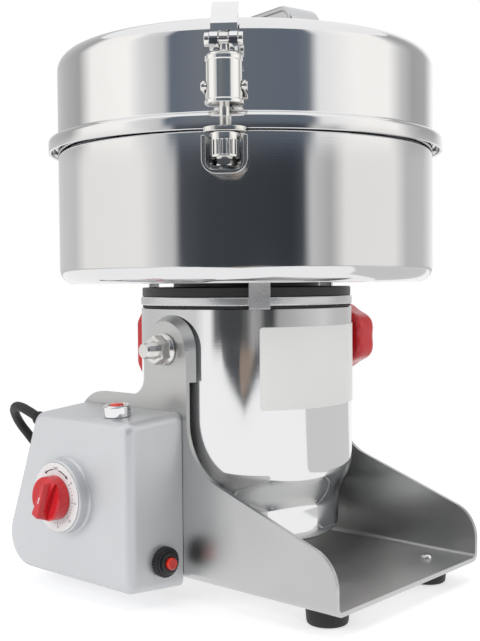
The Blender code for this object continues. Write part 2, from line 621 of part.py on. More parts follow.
def motor_parts(looks):
    """Motor shell with its cover, end bell, bearings and stator."""
    outline = shell_profile(0) + shell_profile(SHELL_WALL)[::-1]
    shell = turned("motor_shell", outline, looks["mirror_steel"], 40)
    for side in (-1, 1):
        hole = ring("hole", 0, STUD_RADIUS + GAP, -20 * MM, 20 * MM, None, 24)
        cut(shell, put(hole, along_x(side * SHELL_RADIUS, 0, PIVOT_HEIGHT)))

    floor = SHELL_BOTTOM + SHELL_WALL + GAP
    seat = BEARING_RADIUS + RUN
    turned("motor_bottom_cover", [
        (0, SHELL_BOTTOM), (COVER_HOLE - GAP, SHELL_BOTTOM), (COVER_HOLE - GAP, floor),
        (COVER_HOLE + 6 * MM, floor), (COVER_HOLE + 6 * MM, floor + 2 * MM), (seat + 3 * MM, floor + 2 * MM),
        (seat + 3 * MM, floor + 14 * MM), (seat, floor + 14 * MM), (seat, floor + 4 * MM), (0, floor + 4 * MM),
    ], looks["black_plastic"], 32)
    ring("lower_bearing", SHAFT_RADIUS + RUN, BEARING_RADIUS, floor + 4 * MM + GAP, floor + 13 * MM,
         looks["bearing_steel"], 20)

    gasket_top = BELL_BOTTOM - GAP
    ring("gap_gasket", SHELL_RADIUS - 7 * MM, SHELL_RADIUS - 1 * MM, SHELL_TOP + GAP, gasket_top,
         looks["black_plastic"], 32)
    hub_bottom = BELL_BOTTOM - 16 * MM
    bell = turned("end_bell", [
        (seat, hub_bottom), (seat + 4 * MM, hub_bottom), (seat + 4 * MM, BELL_BOTTOM),
        (SHELL_RADIUS - 12 * MM, BELL_BOTTOM), (SHELL_RADIUS - 12 * MM, SHELL_TOP - 8 * MM),
        (SHELL_RADIUS - 8 * MM, SHELL_TOP - 8 * MM), (SHELL_RADIUS - 8 * MM, BELL_BOTTOM),
        (BELL_RADIUS, BELL_BOTTOM), (BELL_RADIUS, BELL_TOP), (SHAFT_RADIUS + GAP, BELL_TOP),
        (SHAFT_RADIUS + GAP, BELL_TOP - 3 * MM), (seat, BELL_TOP - 3 * MM),
    ], looks["satin_alloy"], 40)
    for k in range(3):
        tab = block("tab", (-TAB_WIDTH / 2, -BELL_RADIUS - 1 * MM, SHELL_TOP + GAP),
                    (TAB_WIDTH / 2, -VENT_RADIUS - GAP, BOWL_BOTTOM - GAP))
        weld(bell, put(tab, station(TAB_AZIMUTH + 120 * k)))
    ring("upper_bearing", SHAFT_RADIUS + RUN, BEARING_RADIUS, BELL_TOP - 3 * MM - GAP - 9 * MM,
         BELL_TOP - 3 * MM - GAP, looks["bearing_steel"], 20)
    turned("vent_ring", [
        (2 * SHAFT_RADIUS, BELL_TOP + GAP), (VENT_RADIUS, BELL_TOP + GAP), (VENT_RADIUS, VENT_TOP),
        (HUB_RADIUS, VENT_TOP), (HUB_RADIUS, BOWL_BOTTOM - GAP), (2 * SHAFT_RADIUS, BOWL_BOTTOM - GAP),
    ], looks["black_plastic"], 32)
    inner = SHELL_RADIUS - SHELL_WALL
    ring("stator_core", 34 * MM, inner - 2 * GAP, SHELL_WAIST + 4 * MM, PIVOT_HEIGHT - 17 * MM,
         looks["winding_copper"], 28)
    label_plate(looks["label_white"])
    rear_grip(looks["red_plastic"])
    pivot_parts(looks)


def label_plate(look):
    """Blank sticker wrapped on the shell."""
    inner, outer = SHELL_RADIUS + 0.2 * MM, SHELL_RADIUS + 0.6 * MM
    first = LABEL_AZIMUTH - 90
    outline = arc(0, 0, outer, first, first + LABEL_SPAN, 20) + arc(0, 0, inner, first + LABEL_SPAN, first, 20)
    prism("label_plate", outline, LABEL_BOTTOM, LABEL_TOP, look)


def rear_grip(look):
    """Grip on the back of the shell, used to tip the mill."""
    low, high = 124 * MM, SHELL_TOP - GAP
    profile = [(60 * MM, low), (90 * MM, low), (98 * MM, low + 12 * MM), (98 * MM, high - 12 * MM),
               (90 * MM, high), (60 * MM, high)]
    grip = loft("rear_grip", [[(x, y, z) for y, z in profile] for x in (-20 * MM, 20 * MM)], look)
    cut(grip, ring("seat", 0, SHELL_RADIUS + 1.2 * GAP, low - 5 * MM, high + 5 * MM, None, 64))


def pivot_parts(looks):
    """Lugs inside the shell, the two studs, the left nut and the lock knob."""
    inner = SHELL_RADIUS - SHELL_WALL
    for name, side in (("pivot_lug_left", -1), ("pivot_lug_right", 1)):
        lug = put(ring(name, STUD_RADIUS + GAP, 12 * MM, 0, 20 * MM, looks["satin_alloy"], 24),
                  along_x(side * 60 * MM, 0, PIVOT_HEIGHT, side))
        combine(lug, ring("inside", 0, inner - GAP, 0, SHELL_TOP, None, 64), "INTERSECT")
    end = -STUD_REACH
    ring_at = along_x(0, 0, PIVOT_HEIGHT)
    put(ring("pivot_stud_left", 0, STUD_RADIUS, end, -61 * MM, looks["bright_zinc"], 20, 0.8 * MM), ring_at)
    nut = prism("pivot_nut_left", hexagon(17 * MM), 2 * MM, 10 * MM, looks["bright_zinc"])
    weld(nut, ring("flange", 0, 11 * MM, 0, 3 * MM, None, 20, 0.5 * MM))
    cut(nut, ring("bore", 0, STUD_RADIUS + RUN, -5 * MM, 15 * MM, None, 20))
    put(nut, along_x(-FRAME_HALF_WIDTH - GAP, 0, PIVOT_HEIGHT, -1))
    put(ring("lock_stud", 0, STUD_RADIUS, 61 * MM, LOCK_HEAD[0] + 10 * MM, looks["bright_zinc"], 20, 0.8 * MM),
        ring_at)
    lock_knob(looks["lock_red"])


def lock_knob(look):
    """Scalloped knob on the right stud."""
    lobes, steps = 6, 36
    outline = []
    for k in range(steps):
        a = 2 * math.pi * k / steps
        r = LOCK_RADIUS - 2.6 * MM * (0.5 - 0.5 * math.cos(lobes * a))
        outline.append((r * math.cos(a), r * math.sin(a)))
    back, front = LOCK_HEAD
    sections = [(back, 0.9), (back + 4 * MM, 1.0), (front - 9 * MM, 1.0), (front - 3 * MM, 0.88), (front, 0.62)]
    knob = loft("lock_knob", [[(x * s, y * s, z) for x, y in outline] for z, s in sections], look)
    weld(knob, ring("hub", 0, LOCK_HUB_RADIUS, FRAME_HALF_WIDTH + GAP, back + 2 * MM, None, 20))
    cut(knob, ring("bore", 0, STUD_RADIUS + RUN, 0, back + 11 * MM, None, 20))
    put(knob, along_x(0, 0, PIVOT_HEIGHT))


# === rotor =====================================================================================
def rotor_parts(looks):
    """Shaft with armature, fan and two blades."""
    cover_floor = SHELL_BOTTOM + SHELL_WALL + GAP
    neck = SHAFT_RADIUS - 1 * MM
    turned("motor_shaft", [(0, cover_floor + 5 * MM), (SHAFT_RADIUS, cover_floor + 5 * MM),
                           (SHAFT_RADIUS, LOWER_BLADE_HEIGHT - GAP), (neck, LOWER_BLADE_HEIGHT - GAP),
                           (neck, SHAFT_TOP), (0, SHAFT_TOP)], looks["bearing_steel"], 20)
    around = SHAFT_RADIUS + GAP
    turned("armature", [(around, 50 * MM), (16 * MM, 50 * MM), (16 * MM, 72 * MM), (33 * MM, 76 * MM),
                        (33 * MM, 138 * MM), (around, 142 * MM)], looks["winding_copper"], 28)
    paddles = []
    for k in range(8):
        for radius, turn in ((12, -6), (52, -1.2), (52, 1.2), (12, 6)):
            angle = math.radians(45 * k + turn)
            paddles.append((radius * MM * math.cos(angle), radius * MM * math.sin(angle)))
    fan = prism("cooling_fan", paddles, 147 * MM, 158 * MM, looks["black_plastic"])
    weld(fan, ring("disc", 0, 50 * MM, 146 * MM, 148 * MM, None, 30))
    cut(fan, ring("bore", 0, around, 130 * MM, 170 * MM, None, 20))

    bore = neck + GAP
    upper = LOWER_BLADE_HEIGHT + BLADE_SHEET + BLADE_PITCH
    mill_blade("lower_blade", BLADE_LENGTH, LOWER_BLADE_HEIGHT, 12 * MM, 0, bore, looks["satin_steel"])
    ring("blade_spacer", bore, 9 * MM, LOWER_BLADE_HEIGHT + BLADE_SHEET + GAP, upper - GAP,
         looks["satin_steel"], 24)
    mill_blade("upper_blade", BLADE_LENGTH * 0.8, upper, 16 * MM, 90, bore, looks["satin_steel"])
    nut = prism("blade_nut", hexagon(16 * MM), upper + BLADE_SHEET + GAP, SHAFT_TOP + 3 * MM, looks["bright_zinc"])
    cut(nut, ring("bore", 0, bore, 0, SHAFT_TOP + GAP, None, 24))
    ring("shaft_seal", SHAFT_RADIUS + RUN, 3 * SHAFT_RADIUS - GAP, BOWL_BOTTOM + GAP, BOWL_BOTTOM + 5 * MM,
         looks["black_plastic"], 32)


def mill_blade(name, length, height, tip, azimuth, bore, look):
    """Flat bar with both ends bent up."""
    half = length / 2
    path = fillet([(-half, height + tip, 0), (-half + 26 * MM, height + BLADE_SHEET / 2, 8 * MM),
                   (half - 26 * MM, height + BLADE_SHEET / 2, 8 * MM), (half, height + tip, 0)],
                  closed=False, steps=2)
    outline = strap(path, BLADE_SHEET)
    side = BLADE_WIDTH / 2
    blade = loft(name, [[(x, y, z) for x, z in outline] for y in (-side, side)], look)
    cut(blade, ring("bore", 0, bore, height - 10 * MM, height + 10 * MM, None, 24))
    put(blade, station(azimuth))


# === bowl and lid ==============================================================================
def bowl_parts(looks):
    """Bowl, its hinge leaf and the cradle that takes the clamp's nut."""
    inner = BOWL_RADIUS - BOWL_WALL
    hole = 3 * SHAFT_RADIUS
    outside = fillet([(hole, BOWL_BOTTOM, 0), (BOWL_RADIUS, BOWL_BOTTOM, BOWL_CORNER),
                      (BOWL_RADIUS, RIM_HEIGHT - 2 * MM, 0)], closed=False, steps=3)
    inside = fillet([(hole, BOWL_BOTTOM + BOWL_WALL, 0),
                     (inner, BOWL_BOTTOM + BOWL_WALL, BOWL_CORNER - BOWL_WALL),
                     (inner, RIM_HEIGHT, 0)], closed=False, steps=3)
    rim = [(RIM_RADIUS, RIM_HEIGHT - 2 * MM), (RIM_RADIUS, RIM_HEIGHT)]
    turned("grinding_bowl", outside + rim + inside[::-1], looks["mirror_steel"], 48)
    cradle(looks["bright_zinc"])
    hinge_parts(looks["bright_zinc"])


def lid_parts(looks):
    """Lid with its gasket and handle."""
    floor = RIM_HEIGHT + SEAL_THICKNESS + 2 * GAP
    top = floor + BOWL_WALL
    inner = BOWL_RADIUS - BOWL_WALL
    lip = LIP_RADIUS - BOWL_WALL
    outside = fillet([(0, LID_TOP, 0), (BOWL_RADIUS, LID_TOP, LID_CORNER), (BOWL_RADIUS, top, 2 * MM),
                      (LIP_RADIUS, top, 3.5 * MM), (LIP_RADIUS, top - LIP_DROP, 0)], closed=False, steps=2)
    inside = fillet([(lip, top - LIP_DROP, 0), (lip, floor, 1.5 * MM), (inner, floor, 0),
                     (inner, LID_TOP - BOWL_WALL, LID_CORNER - BOWL_WALL),
                     (0, LID_TOP - BOWL_WALL, 0)], closed=False, steps=2)
    turned("lid_shell", outside + inside, looks["mirror_steel"], 48)
    ring("lid_gasket", inner + 0.5 * MM, RIM_RADIUS, RIM_HEIGHT + GAP, floor - GAP, looks["white_rubber"], 40)

    foot_line = LID_TOP + GAP
    rise = foot_line + HANDLE_HEIGHT - HANDLE_STRAP / 2
    span = HANDLE_HALF_SPAN
    path = fillet([(-span - 8 * MM, foot_line + HANDLE_STRAP / 2, 0),
                   (-span - 1 * MM, foot_line + HANDLE_STRAP / 2, 3 * MM), (-span + 1 * MM, rise, 11 * MM),
                   (span - 1 * MM, rise, 11 * MM), (span + 1 * MM, foot_line + HANDLE_STRAP / 2, 3 * MM),
                   (span + 8 * MM, foot_line + HANDLE_STRAP / 2, 0)], closed=False, steps=4)
    outline = strap(path, HANDLE_STRAP)
    side = HANDLE_WIDTH / 2
    handle = loft("lid_handle", [[(x, y, z) for y, z in outline] for x in (-side, side)], looks["chrome"])
    put(handle, station(HANDLE_TURN))


def wall_seat(obj):
    """Trim what would reach into the bowl's or the lid's wall."""
    return cut(obj, ring("wall", 0, BOWL_RADIUS + GAP, BOWL_BOTTOM - BOWL_DEPTH, LID_TOP + BOWL_DEPTH, None, 80))


def hinge_parts(look):
    """Two leaves and the pin opposite the clamp."""
    azimuth = CLAMP_AZIMUTH + 180
    wall = BOWL_RADIUS - HINGE_REACH
    knuckle = HINGE_KNUCKLE
    third = HINGE_WIDTH / 6
    below, above = -40 * MM, 34 * MM
    leaf = prism("bowl_hinge_leaf", [(wall - 3 * MM, below), (wall + 3 * MM, below),
                                     (wall + 3 * MM, -22 * MM), (wall - 3 * MM, -22 * MM)],
                 -HINGE_WIDTH / 2, HINGE_WIDTH / 2, look)
    arm = [(wall + 1 * MM, -30 * MM), (knuckle, -3 * MM), (knuckle, 0)] \
        + arc(0, 0, knuckle, 15, 165, 8) + [(-knuckle, -6 * MM), (wall + 1 * MM, -23 * MM)]
    for low, high in ((-3 * third, -third - GAP), (third + GAP, 3 * third)):
        weld(leaf, prism("arm", arm, low, high))
    top = prism("lid_hinge_leaf", [(wall - 3 * MM, 9 * MM), (wall + 3 * MM, 9 * MM),
                                   (wall + 3 * MM, above), (wall - 3 * MM, above)],
                -HINGE_WIDTH / 2, HINGE_WIDTH / 2, look)
    over = [(wall + 1 * MM, 16 * MM), (-knuckle, 8 * MM)] + arc(0, 0, knuckle, 180, 345, 8) \
        + [(knuckle, 3 * MM), (wall + 1 * MM, 24 * MM)]
    weld(top, prism("arm", over, -third + GAP, third - GAP))
    for piece in (leaf, top):
        cut(piece, ring("bore", 0, HINGE_PIN_RADIUS + RUN, -HINGE_WIDTH, HINGE_WIDTH, None, 20))
        put(piece, across(azimuth, HINGE_REACH, HINGE_HEIGHT))
        wall_seat(piece)
    pin = ring("hinge_pin", 0, HINGE_PIN_RADIUS, -HINGE_WIDTH / 2 - 2 * MM, HINGE_WIDTH / 2 + GAP, look, 20)
    weld(pin, ring("head", 0, 3.4 * MM, HINGE_WIDTH / 2 + GAP, HINGE_WIDTH / 2 + 2 * MM, None, 20))
    put(pin, across(azimuth, HINGE_REACH, HINGE_HEIGHT))


def cradle(look):
    """U-shaped catch on the bowl, open at the front and top."""
    half = CRADLE_WIDTH / 2
    top = CATCH_PLATE[0] - BOLT_TRAVEL - GAP
    bottom = NUT[0] - BOLT_TRAVEL - GAP - CRADLE_STRAP
    inner = half - CRADLE_STRAP
    outline = fillet([(-half, top, 0), (-half, bottom, 9 * MM), (half, bottom, 9 * MM), (half, top, 0),
                      (inner, top, 0), (inner, bottom + CRADLE_STRAP, 4 * MM),
                      (-inner, bottom + CRADLE_STRAP, 4 * MM), (-inner, top, 0)], steps=3)
    reach = CLAMP_REACH + 4 * MM
    catch = loft("clamp_catch", [[(x, -r, z) for x, z in outline] for r in (BOWL_RADIUS - 6 * MM, reach)], look)
    put(catch, station(CLAMP_AZIMUTH))
    wall_seat(catch)


# === clamp =====================================================================================
def clamp_parts(looks):
    """Over-centre clamp on the lid: bracket, barrel, draw bolt, nut and lever."""
    zinc = looks["bright_zinc"]
    ear_gap = BARREL_RADIUS + 0.6 * MM
    ear_out = ear_gap + 1.3 * MM
    bracket = block("clamp_bracket", (-ear_out, -BOWL_RADIUS - 2.6 * MM, TRUNNION_HEIGHT - EAR_RADIUS - 2 * MM),
                    (ear_out, -BOWL_RADIUS + 8 * MM, TRUNNION_HEIGHT + EAR_RADIUS + 2 * MM), zinc)
    root = BOWL_RADIUS - CLAMP_REACH + 1 * MM
    ear = arc(0, 0, EAR_RADIUS, -90, 90, 6) + [(root, EAR_RADIUS), (root, -EAR_RADIUS)]
    for low, high in ((-ear_out, -ear_gap), (ear_gap, ear_out)):
        weld(bracket, put(prism("ear", ear, low, high), across(0, CLAMP_REACH, TRUNNION_HEIGHT)))
    cut(bracket, put(ring("bore", 0, TRUNNION_RADIUS + RUN, -2 * ear_out, 2 * ear_out, None, 20),
                     across(0, CLAMP_REACH, TRUNNION_HEIGHT)))
    put(bracket, station(CLAMP_AZIMUTH))
    wall_seat(bracket)

    low, high = BARREL
    barrel = turned("clamp_barrel", [
        (0, low), (BARREL_RADIUS + 0.8 * MM, low), (BARREL_RADIUS + 0.8 * MM, low + 2.6 * MM),
        (BARREL_RADIUS, low + 3 * MM), (BARREL_RADIUS, high - 6 * MM), (BARREL_RADIUS + 0.5 * MM, high - 6 * MM),
        (BARREL_RADIUS + 0.5 * MM, high - 1 * MM), (BARREL_RADIUS - 1 * MM, high), (0, high)], zinc, 20)
    for side in (-1, 1):
        pin = ring("trunnion", 0, TRUNNION_RADIUS, BARREL_RADIUS - 2 * MM, ear_out + 1.1 * MM, None, 20)
        weld(barrel, put(pin, along_x(0, 0, TRUNNION_HEIGHT, side)))
    cut(barrel, ring("bore", 0, BOLT_RADIUS + RUN, low - 5 * MM, high + 5 * MM, None, 24))
    put(barrel, station(CLAMP_AZIMUTH) @ Matrix.Translation((0, -CLAMP_REACH, 0)))

    on_axis = station(CLAMP_AZIMUTH) @ Matrix.Translation((0, -CLAMP_REACH, 0))
    bolt = ring("draw_bolt", 0, BOLT_RADIUS, BOLT_BOTTOM, CAM_PIN_HEIGHT - 3.2 * MM, zinc, 24)
    eye_half = 2.8 * MM
    weld(bolt, put(ring("eye", 0, KNUCKLE_RADIUS - 0.2 * MM, -eye_half, eye_half, None, 24),
                   across(0, 0, CAM_PIN_HEIGHT)))
    cut(bolt, put(ring("bore", 0, CAM_PIN_RADIUS + RUN, -2 * eye_half, 2 * eye_half, None, 20),
                  across(0, 0, CAM_PIN_HEIGHT)))
    put(bolt, on_axis)

    oval = [(x, y * 0.68) for x, y in arc(0, 0, 12.8 * MM, 0, 352.5, 31)]
    oval = [(x, min(y, CLAMP_REACH - LIP_RADIUS - 1 * MM)) for x, y in oval]
    plate = prism("catch_plate", oval, *CATCH_PLATE, zinc)
    cut(plate, ring("bore", 0, BOLT_RADIUS + GAP, 0, 400 * MM, None, 24))
    put(plate, on_axis)
    adjusting_nut(zinc, on_axis)
    lever_parts(looks, eye_half)


def adjusting_nut(look, frame):
    """Knurled nut with a hexagon below it."""
    low, high = NUT
    flutes = 18
    outline = []
    for k in range(flutes):
        for share, radius in ((0.0, NUT_RADIUS), (0.5, NUT_RADIUS), (0.75, NUT_RADIUS - 0.9 * MM)):
            a = 2 * math.pi * (k + share) / flutes
            outline.append((radius * math.cos(a), radius * math.sin(a)))
    nut = prism("adjusting_nut", outline, low + 4.8 * MM, high, look)
    weld(nut, ring("neck", 0, NUT_RADIUS - 3 * MM, low + 3 * MM, low + 6 * MM, None, 24))
    weld(nut, prism("hex", hexagon(13 * MM), low, low + 3.8 * MM))
    cut(nut, ring("bore", 0, BOLT_RADIUS + RUN, low + 0.7 * MM, high + 5 * MM, None, 24))
    put(nut, frame)


def lever_parts(looks, eye_half):
    """Cam lever on the pin through the bolt's eye."""
    zinc = looks["bright_zinc"]
    cheek_in, cheek_out = eye_half + 0.6 * MM, LEVER_WIDTH / 2
    lobe = CAM_PIN_HEIGHT - BARREL[1] - GAP
    cheek = arc(0, 0, KNUCKLE_RADIUS, 0, 180, 10) + [(-KNUCKLE_RADIUS * 0.8, -lobe * 0.8), (-0.8 * MM, -lobe),
                                                     (0.8 * MM, -lobe), (KNUCKLE_RADIUS * 0.9, -lobe * 0.5)]
    path = fillet([(0, 3.6 * MM, 0), (-1 * MM, 10 * MM, 6 * MM), (-7 * MM, 19 * MM, 12 * MM),
                   (-13 * MM, 24 * MM, 0)], closed=False, steps=3)
    lever = prism("clamp_lever", strap(path, 2.4 * MM), -cheek_out + GAP, cheek_out - GAP, zinc)
    cut(lever, ring("eye_room", 0, KNUCKLE_RADIUS + 0.6 * MM, -cheek_in - GAP, cheek_in + GAP, None, 24))
    for low, high in ((-cheek_out, -cheek_in), (cheek_in, cheek_out)):
        side = cut(prism("cheek", cheek, low, high),
                   ring("bore", 0, CAM_PIN_RADIUS + RUN, -20 * MM, 20 * MM, None, 16))
        weld(lever, side)
    frame = across(CLAMP_AZIMUTH, CLAMP_REACH, CAM_PIN_HEIGHT)
    put(lever, frame)
    reach = cheek_out + GAP
    pin = ring("cam_pin", 0, CAM_PIN_RADIUS, -reach - 1 * MM, reach + 1 * MM, zinc, 20)
    for side in (-1, 1):
        ends = sorted((side * reach, side * (reach + 3 * MM)))
        weld(pin, ring("head", 0, KNUCKLE_RADIUS - 0.4 * MM, *ends, None, 20))
    put(pin, frame)


# === assembly ==================================================================================
BODIES = {
    "frame": (None, (0, 0, 0)),
    "mill": ("frame", (0, 0, PIVOT_HEIGHT)),
    "rotor": ("mill", (0, 0, BOWL_BOTTOM)),
    "lid": ("mill", tuple(across(CLAMP_AZIMUTH + 180, HINGE_REACH, HINGE_HEIGHT).translation)),
    "clamp": ("lid", tuple(across(CLAMP_AZIMUTH, CLAMP_REACH, TRUNNION_HEIGHT).translation)),
}
NODES = {
    "mill": ("motor_shell", "motor_bottom_cover", "label_plate", "gap_gasket", "end_bell", "vent_ring",
             "stator_core", "upper_bearing", "lower_bearing", "grinding_bowl", "shaft_seal",
             "pivot_lug_left", "pivot_lug_right", "pivot_stud_left", "pivot_nut_left", "lock_stud",
             "rear_grip", "bowl_hinge_leaf", "clamp_catch", "lock_knob"),
    "rotor": ("motor_shaft", "armature", "cooling_fan", "lower_blade", "blade_spacer", "upper_blade",
              "blade_nut"),
    "lid": ("lid_shell", "lid_gasket", "lid_handle", "lid_hinge_leaf", "hinge_pin", "clamp_bracket"),
    "clamp": ("clamp_barrel", "draw_bolt", "catch_plate", "adjusting_nut", "clamp_lever", "cam_pin"),
}
CORD_NODES = ("mains_cord", "cord_coil", "mains_plug")


def assemble():
    """Parent every piece to its body and stand the assembly on the world origin."""
    owner = {node: body for body, nodes in NODES.items() for node in nodes}
    pieces = list(bpy.data.objects)
    empties = {}
    for body, (parent, place) in BODIES.items():
        empty = bpy.data.objects.new(body + "_body", None)
        empty.empty_display_size = 20 * MM
        empty.matrix_world = Matrix.Translation(place)
        bpy.context.scene.collection.objects.link(empty)
        empties[body] = empty
        bpy.context.view_layer.update()
        if parent:
            empty.parent = empties[parent]
            empty.matrix_parent_inverse = empties[parent].matrix_world.inverted()
    bpy.context.view_layer.update()
    for piece in pieces:
        body = empties[owner.get(piece.name, "frame")]
        piece.parent = body
        piece.matrix_parent_inverse = body.matrix_world.inverted()
    bpy.context.view_layer.update()

    depsgraph = bpy.context.evaluated_depsgraph_get()
    low, high = Vector((9, 9, 9)), Vector((-9, -9, -9))
    for piece in pieces:
        if piece.name in CORD_NODES:
            continue
        for vertex in piece.evaluated_get(depsgraph).data.vertices:
            point = piece.matrix_world @ vertex.co
            low = Vector(map(min, low, point))
            high = Vector(map(max, high, point))
    empties["frame"].location = (-(low.x + high.x) / 2, -(low.y + high.y) / 2, -low.z)


def build():
    """Model every piece and assemble the mill."""
    for obj in list(bpy.data.objects):
        bpy.data.objects.remove(obj)
    looks = {
        "mirror_steel": material("mirror_steel", (0.72, 0.71, 0.70), 1.0, 0.08),
        "satin_steel": material("satin_steel", (0.60, 0.61, 0.61), 1.0, 0.32),
        "satin_alloy": material("satin_alloy", (0.66, 0.66, 0.66), 1.0, 0.35),
        "bright_zinc": material("bright_zinc", (0.80, 0.79, 0.76), 1.0, 0.15),
        "chrome": material("chrome", (0.80, 0.80, 0.80), 1.0, 0.06),
        "frame_steel": material("frame_steel", (0.55, 0.56, 0.56), 0.9, 0.38),
        "box_silver": material("box_silver", (0.66, 0.67, 0.69), 0.5, 0.40),
        "bearing_steel": material("bearing_steel", (0.70, 0.70, 0.70), 1.0, 0.20),
        "winding_copper": material("winding_copper", (0.50, 0.25, 0.12), 0.8, 0.40),
        "black_plastic": material("black_plastic", (0.02, 0.02, 0.022), 0.0, 0.45),
        "red_plastic": material("red_plastic", (0.55, 0.02, 0.03), 0.0, 0.35),
        "lock_red": material("lock_red", (0.60, 0.02, 0.04), 0.0, 0.30),
        "label_white": material("label_white", (0.85, 0.84, 0.80), 0.0, 0.50),
        "dial_white": material("dial_white", (0.88, 0.88, 0.88), 0.0, 0.40),
        "white_rubber": material("white_rubber", (0.75, 0.75, 0.73), 0.0, 0.60),
        "lens_red": material("lens_red", (0.70, 0.03, 0.03), 0.0, 0.20),
    }
    base_frame(looks["frame_steel"])
    for end, y in (("front", FOOT_FRONT_Y), ("rear", FOOT_REAR_Y)):
        foot("foot_" + end + "_left", -FOOT_X, y, looks["black_plastic"])
        foot("foot_" + end + "_right", FOOT_X, y, looks["black_plastic"])
    control_box(looks["box_silver"])
    timer_parts((looks["dial_white"], looks["black_plastic"], looks["red_plastic"]))
    lamp_parts(looks["chrome"], looks["lens_red"])
    breaker_parts(looks["black_plastic"], looks["red_plastic"])
    switch_parts(looks["black_plastic"])
    cord_parts(looks["black_plastic"])
    motor_parts(looks)
    rotor_parts(looks)
    bowl_parts(looks)
    lid_parts(looks)
    clamp_parts(looks)
    assemble()


build()
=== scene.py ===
"""Tilting hammer mill: its visible pieces, finishes and studio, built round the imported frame.

Everything is modelled in millimetres round the mill's axis, with the underside of the base
plate at height 0, the discharge side towards -Y and the control box towards -X. Maker.fit
brings each finished piece into the frame's metres.
"""
import logging
import math
from collections.abc import Callable
from dataclasses import dataclass, field
from enum import Enum

import bpy
from mathutils import Matrix, Vector


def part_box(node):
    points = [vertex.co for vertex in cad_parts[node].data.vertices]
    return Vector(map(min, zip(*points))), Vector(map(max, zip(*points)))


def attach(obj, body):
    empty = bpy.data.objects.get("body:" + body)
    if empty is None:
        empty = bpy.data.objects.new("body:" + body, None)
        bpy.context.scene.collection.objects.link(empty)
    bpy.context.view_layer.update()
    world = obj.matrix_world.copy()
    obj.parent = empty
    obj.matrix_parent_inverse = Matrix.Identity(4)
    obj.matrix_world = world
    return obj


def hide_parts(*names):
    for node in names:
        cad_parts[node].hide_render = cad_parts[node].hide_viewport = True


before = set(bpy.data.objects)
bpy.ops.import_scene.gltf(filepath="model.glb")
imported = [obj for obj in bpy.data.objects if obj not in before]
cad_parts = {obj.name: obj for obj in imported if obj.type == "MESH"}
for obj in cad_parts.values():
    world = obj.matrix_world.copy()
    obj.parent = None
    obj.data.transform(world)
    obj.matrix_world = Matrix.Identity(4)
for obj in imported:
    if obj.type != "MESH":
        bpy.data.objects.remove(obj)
log = logging.getLogger("hammer_mill")

MM = 0.001
BOWL_METRES = 0.135      # marks that run round the mill keep their scale at the bowl's wall
Flat = list[tuple[float, float]]
Place = tuple[float, float, float]
Piece = bpy.types.Object
Socket = bpy.types.NodeSocket
SIDEWAYS = Matrix(((0, 0, 1, 0), (1, 0, 0, 0), (0, 1, 0, 0), (0, 0, 0, 1)))      # outline in Y and Z
LENGTHWAYS = Matrix(((1, 0, 0, 0), (0, 0, -1, 0), (0, 1, 0, 0), (0, 0, 0, 1)))   # outline in X and Z


# === places and outlines ========================================================================
def station(azimuth: float) -> Matrix:
    """Frame turned about the mill's axis, so that its -Y points outwards at that azimuth."""
    return Matrix.Rotation(math.radians(azimuth), 4, "Z")


def across(azimuth: float, reach: float, height: float) -> Matrix:
    """Frame on the wall of the mill.

    Args:
        azimuth: where round the mill, in degrees from -Y.
        reach: distance from the axis.
        height: height over the base plate's underside.

    Returns:
        A frame whose X points outwards, Y up and Z along the wall.
    """
    turn = Matrix(((0, 0, 1, 0), (-1, 0, 0, 0), (0, 1, 0, 0), (0, 0, 0, 1)))
    return station(azimuth) @ Matrix.Translation((0, -reach, height)) @ turn


def along_x(x: float = 0.0, y: float = 0.0, z: float = 0.0, side: int = 1) -> Matrix:
    """Frame at a place whose Z points to +X or, for side -1, to -X."""
    return Matrix.Translation((x, y, z)) @ Matrix.Rotation(side * math.pi / 2, 4, "Y")


def shift(x: float = 0.0, y: float = 0.0, z: float = 0.0) -> Matrix:
    """Frame moved to a place."""
    return Matrix.Translation((x, y, z))


def arc(cx: float, cy: float, radius: float, start: float, end: float, steps: int) -> Flat:
    """Points on an arc.

    Args:
        cx, cy: its centre.
        radius: its radius.
        start, end: its two angles in degrees.
        steps: how many chords it has.

    Returns:
        The steps + 1 points.
    """
    turns = [math.radians(start + (end - start) * k / steps) for k in range(steps + 1)]
    return [(cx + radius * math.cos(a), cy + radius * math.sin(a)) for a in turns]


def fillet(corners: list[Place], closed: bool = True, steps: int = 6) -> Flat:
    """Round the corners of an outline.

    Args:
        corners: the corners as (x, y, radius).
        closed: whether the last corner joins the first.
        steps: chords in each rounding.

    Returns:
        The points of the rounded outline.
    """
    count, points = len(corners), []
    for i, (x, y, radius) in enumerate(corners):
        here = Vector((x, y))
        if radius <= 0 or (not closed and i in (0, count - 1)):
            points.append((x, y))
            continue
        back = (Vector(corners[i - 1][:2]) - here).normalized()
        ahead = (Vector(corners[(i + 1) % count][:2]) - here).normalized()
        half = back.angle(ahead) / 2
        centre = here + (back + ahead).normalized() * radius / math.sin(half)
        start = here + back * radius / math.tan(half) - centre
        sweep = start.angle_signed(here + ahead * radius / math.tan(half) - centre)
        for k in range(steps + 1):
            c, s = math.cos(-sweep * k / steps), math.sin(-sweep * k / steps)
            points.append((centre.x + c * start.x - s * start.y, centre.y + s * start.x + c * start.y))
    return points


def strip(path: Flat, thickness: float) -> Flat:
    """Outline of a strip that follows an open path.

    Args:
        path: the middle line.
        thickness: the strip's thickness.

    Returns:
        The closed outline's points.
    """
    pts, left, right = [Vector(p) for p in path], [], []
    for i, point in enumerate(pts):
        along = (pts[min(i + 1, len(pts) - 1)] - pts[max(i - 1, 0)]).normalized()
        normal = Vector((-along.y, along.x)) * thickness / 2
        left.append(tuple(point + normal))
        right.append(tuple(point - normal))
    return left + right[::-1]


def hexagon(flats: float) -> Flat:
    """Outline of a hexagon with that distance across its flats."""
    return arc(0, 0, flats / math.sqrt(3), 0, 300, 5)


